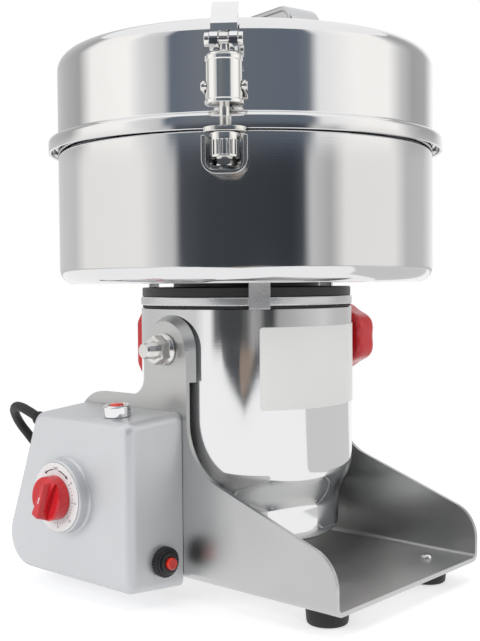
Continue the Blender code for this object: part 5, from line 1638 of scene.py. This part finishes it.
    def _pivots(self) -> None:
        """Threaded studs, and the flanged nut on the left one."""
        bench = self.bench
        for name, start, end, node in (("left_stud", -self.stud_reach, -61.0, "pivot_stud_left"), ("right_stud",
                61.0, self.knob[0] + 10, "lock_stud")):
            low, high = sorted((start, end))
            outline = [(0, low), (4.5, low), (5.2, low + 0.9)]
            count = int((high - low - 2) / 1.5)
            for k in range(count):
                z = low + 1 + 1.5 * k
                outline += [(self.stud_radius, z + 0.35), (self.stud_radius, z + 0.65), (4.85, z + 1.05), (4.85,
                    z + 1.3)]
            outline += [(5.2, high - 0.6), (4.5, high), (0, high)]
            stud = bench.put(bench.turn(name, outline, 40), along_x(0, 0, self.pivot))
            self.maker.fit(stud, Look.ZINC, "mill", node, smooth=20)
        nut = bench.slab("left_nut", hexagon(17), 2, 10)
        cone = bench.turn("cone", [(0, 1), (12, 1), (12, 8.4), (8.6, 10.05), (0, 10.05)], 64)
        bench.combine(nut, cone, "INTERSECT")
        flange = bench.lathe("flange", [(0, 0, 0), (11, 0, 0.5), (11, 1.6, 0.6), (8.2, 3.2, 0.6), (0, 3.2, 0)], 4,
            64)
        bench.weld(nut, flange)
        bench.cut(nut, bench.turn("bore", [(0, -5), (5.62, -5), (5.62, 9.3), (6.6, 10.5), (0, 10.5)], 40))
        bench.put(nut, along_x(-84.8, 0, self.pivot, -1))
        self.maker.fit(nut, Look.ZINC, "mill", "pivot_nut_left", smooth=25)

    def _lock(self) -> None:
        """Scalloped knob on the right stud."""
        bench = self.bench
        back, front, radius = self.knob
        ring = []
        for k in range(120):
            a = 2 * math.pi * k / 120
            r = radius - 2.6 * (0.5 - 0.5 * math.cos(6 * a))
            ring.append((r * math.cos(a), r * math.sin(a)))
        rows = [(back, 0.86), (back + 1.2, 0.93), (back + 3.2, 0.985), (back + 6, 1.0), (front - 9, 1.0),
            (front - 6, 0.975), (front - 3.2, 0.90), (front - 1.2, 0.78), (front - 0.2, 0.62), (front, 0.48)]
        knob = bench.loft("lock_knob_red", [[(x * s, y * s, z) for x, y in ring] for z, s in rows])
        hub = bench.lathe("hub", [(0, 84.8, 0), (13, 84.8, 0.8), (13, back + 2, 0), (0, back + 2, 0)], 3, 64)
        bench.weld(knob, hub)
        bench.cut(knob, bench.disc("bore", 5.62, 0, back + 11, 32))
        dish = bench.lathe("dish", [(0, front - 1.2, 0), (8.5, front - 1.2, 1.2), (9.6, front + 2, 0), (0,
            front + 2, 0)], 4, 64)
        bench.cut(knob, dish)
        bench.put(knob, along_x(0, 0, self.pivot))
        self.maker.fit(knob, Look.RED, "lock_knob", "lock_knob", smooth=35)


# === bowl =======================================================================================
@dataclass
class GrindingBowl(Part):
    """Bowl with its flange, the catch for the clamp and the lower hinge leaf."""

    radius: float = 135.0
    wall: float = 2.0
    bottom: float = 199.2
    corner: float = 10.5
    rim: float = 298.0
    rim_radius: float = 137.8
    hole: float = 15.0
    catch_width: float = 27.5
    catch_strap: float = 2.8
    catch_low: float = 263.4
    catch_high: float = 286.1
    catch_reach: float = 154.0
    azimuth: float = -53.3
    hinge_reach: float = 150.0
    hinge_height: float = 297.0
    hinge_width: float = 34.0
    knuckle: float = 4.5

    def build(self) -> None:
        """Make the bowl, its catch and its hinge leaf."""
        bench, inner = self.bench, self.radius - self.wall
        outside = fillet([(self.hole, self.bottom, 0), (self.radius, self.bottom, self.corner), (self.radius,
            self.rim - 2, 0.8), (self.rim_radius, self.rim - 2, 0.6)], closed=False, steps=10)
        outside = outside[:-1] + [(self.rim_radius, self.rim - 2)]
        inside = fillet([(self.hole, self.bottom + self.wall, 0), (inner, self.bottom + self.wall,
            self.corner - self.wall), (inner, self.rim, 0)], closed=False, steps=10)
        bowl = bench.turn("bowl", outside + [(self.rim_radius, self.rim)] + inside[::-1], 192)
        bench.bevel(bowl, 0.35, 2, 50)
        self.maker.fit(bowl, Look.MIRROR, "mill", "grinding_bowl", smooth=25)
        self._catch()
        self._leaf()
        self.maker.dress(Look.RUBBER, "shaft_seal")

    def seat(self, piece: Piece) -> Piece:
        """Trim what would reach into the bowl's or the lid's wall."""
        return self.bench.cut(piece, self.bench.disc("wall", self.radius + 0.3, 150, 400, 192))

    def _catch(self) -> None:
        """U-shaped catch, open at its front and top."""
        bench, half, inner = self.bench, self.catch_width / 2, self.catch_width / 2 - self.catch_strap
        low, high, strap = self.catch_low, self.catch_high, self.catch_strap
        outline = fillet([(-half, high, 0), (-half, low, 9), (half, low, 9), (half, high, 0), (inner, high, 0),
            (inner, low + strap, 4), (-inner, low + strap, 4), (-inner, high, 0)], steps=8)
        catch = bench.put(bench.slab("clamp_cradle", outline, self.radius - 6, self.catch_reach), LENGTHWAYS)
        bench.bevel(catch, 0.5, 3, 40)
        bench.put(catch, station(self.azimuth))
        self.maker.fit(self.seat(catch), Look.ZINC, "mill", "clamp_catch")

    def _leaf(self) -> None:
        """Lower hinge leaf with two knuckles and two rivets."""
        bench, wall, kn = self.bench, self.radius - self.hinge_reach, self.knuckle
        third, half = self.hinge_width / 6, self.hinge_width / 2
        leaf = bench.slab("lower_leaf", [(wall - 3, -40), (wall + 3, -40), (wall + 3, -22), (wall - 3, -22)], -half,
            half)
        arm = [(wall + 1, -30), (kn, -3), (kn, 0)] + arc(0, 0, kn, 15, 165, 16) + [(-kn, -6), (wall + 1, -23)]
        for low, high in ((-half, -third - 0.3), (third + 0.3, half)):
            bench.weld(leaf, bench.slab("arm", arm, low, high))
        bench.cut(leaf, bench.disc("bore", 2.32, -half - 5, half + 5, 32))
        bench.bevel(leaf, 0.5, 2, 40)
        for z in (-10, 10):
            rivet = bench.lathe("rivet", [(0, 0, 0), (2.8, 0, 0), (2.6, 1.1, 0.8), (0, 1.5, 0)], 3, 32)
            bench.weld(leaf, bench.put(rivet, shift(wall + 2.9, -36, z) @ Matrix.Rotation(math.pi / 2, 4, "Y")))
        bench.put(leaf, across(self.azimuth + 180, self.hinge_reach, self.hinge_height))
        self.maker.fit(self.seat(leaf), Look.ZINC, "mill", "bowl_hinge_leaf")


# === lid ========================================================================================
@dataclass
class Lid(Part):
    """Lid with its seal, strap handle, upper hinge leaf and pin, and the clamp's bracket."""

    bowl: GrindingBowl
    top: float = 361.0
    corner: float = 12.0
    floor: float = 300.0
    lip_radius: float = 141.7
    lip_drop: float = 10.5
    handle_width: float = 26.0
    handle_strap: float = 4.0
    handle_turn: float = -12.0
    half_span: float = 68.0
    handle_height: float = 25.0
    pin_radius: float = 2.2
    trunnion: float = 314.7
    ear_gap: float = 11.6
    ear_radius: float = 3.4
    clamp_reach: float = 150.0

    def build(self) -> None:
        """Make the lid."""
        bench, radius, wall = self.bench, self.bowl.radius, self.bowl.wall
        inner, lip, top = radius - wall, self.lip_radius - wall, self.floor + wall
        outside = fillet([(0, self.top, 0), (radius, self.top, self.corner), (radius, top, 1.6), (self.lip_radius,
            top, 3.6), (self.lip_radius, top - self.lip_drop, 0)], closed=False, steps=8)
        inside = fillet([(lip, top - self.lip_drop, 0), (lip, self.floor, 1.5), (inner, self.floor, 0), (inner,
            self.top - wall, self.corner - wall), (0, self.top - wall, 0)], closed=False, steps=8)
        shell = bench.turn("lid_cover", outside + inside, 192)
        bench.bevel(shell, 0.5, 2, 60)
        self.maker.fit(shell, Look.MIRROR, "lid", "lid_shell", smooth=25)
        seal = bench.lathe("lid_seal", [(inner + 0.5, 298.3, 0.3), (137.8, 298.3, 0.3), (137.8, 299.7, 0.3),
            (inner + 0.5, 299.7, 0.3)], 2, 160)
        self.maker.fit(seal, Look.SEAL, "lid", "lid_gasket")
        self._handle()
        self._hinge()
        self._bracket()

    def _handle(self) -> None:
        """Bent strap with turned-out feet and dome screws."""
        bench, span, t = self.bench, self.half_span, self.handle_strap
        line = self.top + 0.3 + t / 2
        rise = self.top + 0.3 + self.handle_height - t / 2
        path = fillet([(-span - 8, line, 0), (-span - 1, line, 3.5), (-span + 1, rise, 11), (span - 1, rise, 11),
            (span + 1, line, 3.5), (span + 8, line, 0)], closed=False, steps=12)
        turned = station(self.handle_turn)
        outline = [(y, z) for y, z in strip(path, t)]
        half = self.handle_width / 2
        handle = bench.put(bench.slab("strap_handle", outline, -half, half), SIDEWAYS)
        bench.bevel(handle, 1.5, 4, 50)
        bench.put(handle, turned)
        self.maker.fit(handle, Look.HANDLE, "lid", "lid_handle", smooth=25)
        head = bench.lathe("dome", [(0, 0, 0), (2.7, 0, 0.2), (2.5, 1.3, 1.0), (0, 1.8, 0)], 4, 40)
        for k, y in enumerate((-span - 4.6, span + 4.6)):
            for side in (-1, 1):
                name = "handle_screw_" + str(2 * k + (side + 1) // 2)
                self.maker.fit(bench.copy(head, name, turned @ shift(6.4 * side, y, self.top + t + 0.25)),
                    Look.CHROME, "lid")
        bpy.data.objects.remove(head)

    def _hinge(self) -> None:
        """Upper leaf with one knuckle, and the headed pin."""
        bench, kn = self.bench, self.bowl.knuckle
        wall = self.bowl.radius - self.bowl.hinge_reach
        half, third = self.bowl.hinge_width / 2, self.bowl.hinge_width / 6
        at = across(self.bowl.azimuth + 180, self.bowl.hinge_reach, self.bowl.hinge_height)
        leaf = bench.slab("upper_leaf", [(wall - 3, 9), (wall + 3, 9), (wall + 3, 34), (wall - 3, 34)], -half, half)
        over = [(wall + 1, 16), (-kn, 8)] + arc(0, 0, kn, 180, 345, 16) + [(kn, 3), (wall + 1, 24)]
        bench.weld(leaf, bench.slab("arm", over, -third + 0.3, third - 0.3))
        bench.cut(leaf, bench.disc("bore", 2.32, -half - 5, half + 5, 32))
        bench.bevel(leaf, 0.5, 2, 40)
        for z in (-11, 11):
            rivet = bench.lathe("rivet", [(0, 0, 0), (2.8, 0, 0), (2.6, 1.1, 0.8), (0, 1.5, 0)], 3, 32)
            bench.weld(leaf, bench.put(rivet, shift(wall + 2.9, 27, z) @ Matrix.Rotation(math.pi / 2, 4, "Y")))
        bench.put(leaf, at)
        self.maker.fit(self.bowl.seat(leaf), Look.ZINC, "lid", "lid_hinge_leaf")
        r = self.pin_radius
        pin = bench.lathe("leaf_pin", [(0, -half - 2, 0), (r, -half - 2, 0.5), (r, half + 0.3, 0), (3.4, half + 0.3,
            0.3), (3.2, half + 1.6, 0.6), (0, half + 2, 0)], 3, 40)
        bench.put(pin, at)
        self.maker.fit(pin, Look.ZINC, "lid", "hinge_pin")

    def _bracket(self) -> None:
        """Bracket on the lid's wall with two ears that hold the clamp's barrel."""
        bench, radius, mid = self.bench, self.bowl.radius, self.trunnion
        out = self.ear_gap + 1.3
        bracket = bench.box("clamp_mount", (-out, -radius - 2.6, mid - self.ear_radius - 2), (out, -radius + 8,
            mid + self.ear_radius + 2), 0.8, 3)
        root = radius - self.clamp_reach + 1
        ear = arc(0, 0, self.ear_radius, -90, 90, 20) + [(root, self.ear_radius), (root, -self.ear_radius)]
        for low, high in ((-out, -self.ear_gap), (self.ear_gap, out)):
            side = bench.slab("ear", ear, low, high)
            bench.weld(bracket, bench.put(side, across(0, self.clamp_reach, mid)))
        bench.cut(bracket, bench.put(bench.disc("bore", 2.12, -2 * out, 2 * out, 32), across(0, self.clamp_reach,
            mid)))
        bench.bevel(bracket, 0.35, 2, 50)
        bench.put(bracket, station(self.bowl.azimuth))
        self.maker.fit(self.bowl.seat(bracket), Look.ZINC, "lid", "clamp_bracket")


# === clamp ======================================================================================
@dataclass
class Clamp(Part):
    """Over-centre clamp: barrel, draw bolt, catch plate, adjusting nut, cam lever and pin."""

    azimuth: float = -53.3
    reach: float = 150.0
    trunnion: float = 314.7
    barrel: tuple[float, float, float] = (304.0, 335.0, 11.0)
    pin_height: float = 342.0
    knuckle: float = 4.5
    bolt_radius: float = 3.0
    bolt_low: float = 269.0
    plate: tuple[float, float] = (287.9, 291.0)
    nut: tuple[float, float, float] = (268.0, 287.6, 9.0)
    lever_width: float = 16.5
    lip_radius: float = 141.7
    eye_half: float = 2.8

    @property
    def axis(self) -> Matrix:
        """Frame on the draw bolt's axis."""
        return station(self.azimuth) @ shift(0, -self.reach, 0)

    def build(self) -> None:
        """Make the clamp."""
        self._barrel()
        self._bolt()
        self._nut()
        self._lever()

    def _barrel(self) -> None:
        """Turned barrel with a collar at each end and its two trunnions."""
        bench = self.bench
        low, high, r = self.barrel
        body = bench.lathe("clamp_body", [(0, low, 0), (r + 0.8, low, 0.4), (r + 0.8, low + 2.0, 0.5), (r - 0.1,
            low + 2.8, 0.2), (r - 0.1, high - 6.2, 0.2), (r + 0.5, high - 5.7, 0.3), (r + 0.5, high - 3.4, 0.4),
            (r - 0.6, high - 3.0, 0.2), (r - 0.8, high - 2.0, 0.8), (r - 4.5, high, 1.0), (0, high, 0)], 4, 80)
        for side in (-1, 1):
            pin = bench.lathe("trunnion", [(0, r - 3, 0), (2, r - 3, 0), (2, r + 2.0, 0), (2.8, r + 2.0, 0.3), (2.5,
                r + 2.9, 0.5), (0, r + 2.9, 0)], 3, 32)
            bench.weld(body, bench.put(pin, along_x(0, 0, self.trunnion, side)))
        bench.cut(body, bench.disc("bore", 3.12, low - 5, high + 5, 40))
        bench.put(body, self.axis)
        self.maker.fit(body, Look.CLAMP, "clamp", "clamp_barrel", smooth=25)

    def _bolt(self) -> None:
        """Draw bolt with a threaded end and an eye, and the oval catch plate."""
        bench, r, low = self.bench, self.bolt_radius, self.bolt_low
        outline = [(0, low), (2.4, low), (2.8, low + 0.6)]
        for k in range(27):
            z = low + 0.8 + k
            outline += [(r, z + 0.25), (r, z + 0.4), (r - 0.45, z + 0.65), (r - 0.45, z + 0.8)]
        outline += [(r, low + 28.2), (r, self.pin_height - 3.2), (0, self.pin_height - 3.2)]
        bolt = bench.turn("draw_rod", outline, 40)
        eye = bench.lathe("eye", [(0, -self.eye_half, 0), (self.knuckle - 0.2, -self.eye_half, 0.5),
            (self.knuckle - 0.2, self.eye_half, 0.5), (0, self.eye_half, 0)], 3, 48)
        bench.weld(bolt, bench.put(eye, across(0, 0, self.pin_height)))
        bench.cut(bolt, bench.put(bench.disc("bore", 2.12, -6, 6, 32), across(0, 0, self.pin_height)))
        bench.put(bolt, self.axis)
        self.maker.fit(bolt, Look.ZINC, "clamp", "draw_bolt", smooth=25)
        oval = [(x, min(y * 0.68, self.reach - self.lip_radius - 1)) for x, y in arc(0, 0, 12.8, 0, 355, 71)]
        plate = bench.slab("catch_washer", oval, *self.plate)
        bench.cut(plate, bench.disc("bore", 3.3, 200, 400, 40))
        bench.bevel(plate, 0.5, 3, 50)
        bench.put(plate, self.axis)
        self.maker.fit(plate, Look.ZINC, "clamp", "catch_plate")

    def _nut(self) -> None:
        """Knurled nut with a washer face and a hexagon below it."""
        bench = self.bench
        low, high, radius = self.nut
        rim = []
        for k in range(20):
            for share, r in ((0.0, radius), (0.46, radius), (0.62, radius - 0.9), (0.84, radius - 0.9)):
                a = 2 * math.pi * (k + share) / 20
                rim.append((r * math.cos(a), r * math.sin(a)))
        nut = bench.slab("knurled_nut", rim, low + 6.0, high - 4.2)
        bench.bevel(nut, 0.3, 2, 60)
        for z0, z1, r in ((low + 4.8, low + 6.6, radius - 0.1), (high - 4.8, high, radius - 0.1), (low + 3, low + 6,
                6.0)):
            collar = bench.lathe("collar", [(0, z0, 0), (r, z0, 0.5), (r, z1, 0.9), (0, z1, 0)], 4, 64)
            bench.weld(nut, collar)
        hexa = bench.slab("hex", hexagon(13), low, low + 3.8)
        cone = bench.turn("cone", [(0, low - 0.05), (6.6, low - 0.05), (8, low + 1.3), (8, low + 8), (0, low + 8)],
            64)
        bench.combine(hexa, cone, "INTERSECT")
        bench.weld(nut, hexa)
        bench.cut(nut, bench.disc("bore", 3.12, low + 0.7, high + 5, 40))
        bench.put(nut, self.axis)
        self.maker.fit(nut, Look.CLAMP, "adjusting_nut", "adjusting_nut", smooth=25)

    def _lever(self) -> None:
        """Cam lever with two cheeks, and the headed pin through the bolt's eye."""
        bench, kn = self.bench, self.knuckle
        cheek_in, cheek_out = self.eye_half + 0.6, self.lever_width / 2
        lobe = self.pin_height - self.barrel[1] - 0.3
        cheek = arc(0, 0, kn, 0, 180, 24) + [(-kn * 0.8, -lobe * 0.8), (-0.8, -lobe), (0.8, -lobe), (kn * 0.9,
            -lobe * 0.5)]
        path = fillet([(0, 3.6, 0), (-1, 10, 6), (-7, 19, 12), (-13, 24, 0)], closed=False, steps=10)
        lever = bench.slab("cam_lever", strip(path, 2.4), -cheek_out + 0.3, cheek_out - 0.3)
        bench.cut(lever, bench.disc("room", kn + 0.6, -cheek_in - 0.3, cheek_in + 0.3, 48))
        for low, high in ((-cheek_out, -cheek_in), (cheek_in, cheek_out)):
            side = bench.cut(bench.slab("cheek", cheek, low, high), bench.disc("bore", 2.12, -20, 20, 32))
            bench.weld(lever, side)
        bench.bevel(lever, 0.45, 3, 40)
        at = across(self.azimuth, self.reach, self.pin_height)
        bench.put(lever, at)
        self.maker.fit(lever, Look.CHROME, "lever", "clamp_lever", smooth=30)
        edge = cheek_out + 0.3
        outline = fillet([(0, -edge - 3, 0), (kn - 0.4, -edge - 3, 0.6), (kn - 0.4, -edge, 0.4), (2, -edge, 0), (2,
            edge, 0), (kn - 0.4, edge, 0.4), (kn - 0.4, edge + 3, 0.6), (0, edge + 3, 0)], closed=False, steps=3)
        pin = bench.put(bench.turn("cam_rivet", outline, 48), at)
        self.maker.fit(pin, Look.CLAMP, "lever", "cam_pin")


# === rotor ======================================================================================
@dataclass
class Rotor(Part):
    """Shaft with armature and fan, and the two bent blades in the bowl."""

    lower_length: float = 210.0
    upper_length: float = 168.0
    width: float = 24.0
    sheet: float = 2.5
    lower_height: float = 206.0
    pitch: float = 14.0
    bore: float = 4.3
    shaft_top: float = 232.0

    def build(self) -> None:
        """Make the blades, their spacer and nut, and dress the rest."""
        bench = self.bench
        upper = self.lower_height + self.sheet + self.pitch
        self._blade("lower_cutter", self.lower_length, self.lower_height, 12, 0, "lower_blade")
        self._blade("upper_cutter", self.upper_length, upper, 16, 90, "upper_blade")
        low, high = self.lower_height + self.sheet + 0.3, upper - 0.3
        spacer = bench.lathe("cutter_spacer", [(self.bore, low, 0), (9, low, 0.5), (9, high, 0.5), (self.bore, high,
            0)], 3, 64)
        self.maker.fit(spacer, Look.BLADE, "rotor", "blade_spacer")
        low = upper + self.sheet + 0.3
        nut = bench.slab("cutter_nut", hexagon(16), low, self.shaft_top + 3)
        cone = bench.turn("cone", [(0, low - 1), (12, low - 1), (12, self.shaft_top + 1.4), (8.2,
            self.shaft_top + 3.05), (0, self.shaft_top + 3.05)], 64)
        bench.combine(nut, cone, "INTERSECT")
        bench.cut(nut, bench.disc("bore", self.bore, 0, self.shaft_top + 0.3, 32))
        self.maker.fit(nut, Look.ZINC, "rotor", "blade_nut", smooth=25)
        self.maker.dress(Look.ALLOY, "motor_shaft")
        self.maker.dress(Look.CORE, "armature")
        self.maker.dress(Look.BLACK, "cooling_fan")

    def _blade(self, name: str, length: float, height: float, tip: float, turn: float, node: str) -> None:
        """Flat bar with both ends bent up and ground to an edge.

        Args:
            name: the new piece's name.
            length: its whole length.
            height: height of its underside.
            tip: how far the ends rise.
            turn: degrees round the shaft.
            node: the CAD node it stands for.
        """
        bench, half, side = self.bench, length / 2, self.width / 2
        path = fillet([(-half, height + tip, 0), (-half + 26, height + self.sheet / 2, 8), (half - 26,
            height + self.sheet / 2, 8), (half, height + tip, 0)], closed=False, steps=8)
        blade = bench.put(bench.slab(name, strip(path, self.sheet), -side, side), LENGTHWAYS)
        bench.bevel(blade, 0.35, 2, 40)
        bench.cut(blade, bench.disc("bore", self.bore, height - 10, height + 10, 32))
        bench.put(blade, station(turn))
        self.maker.fit(blade, Look.BLADE, "rotor", node, smooth=25)


# === build ======================================================================================
def main() -> None:
    """Build the studio and every sub-assembly."""
    logging.basicConfig(level=logging.INFO, format="%(message)s")
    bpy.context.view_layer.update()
    maker = Maker(Layout.read())
    studio = Studio(maker)
    studio.camera()
    MainsLead(maker).build()
    studio.build()
    bowl = GrindingBowl(maker)
    for part in (BaseFrame(maker), ControlBox(maker), MotorUnit(maker), bowl, Lid(maker, bowl), Clamp(maker),
            Rotor(maker)):
        part.build()
        log.info("built %s", type(part).__name__)


if __name__ == "__main__":
    main()
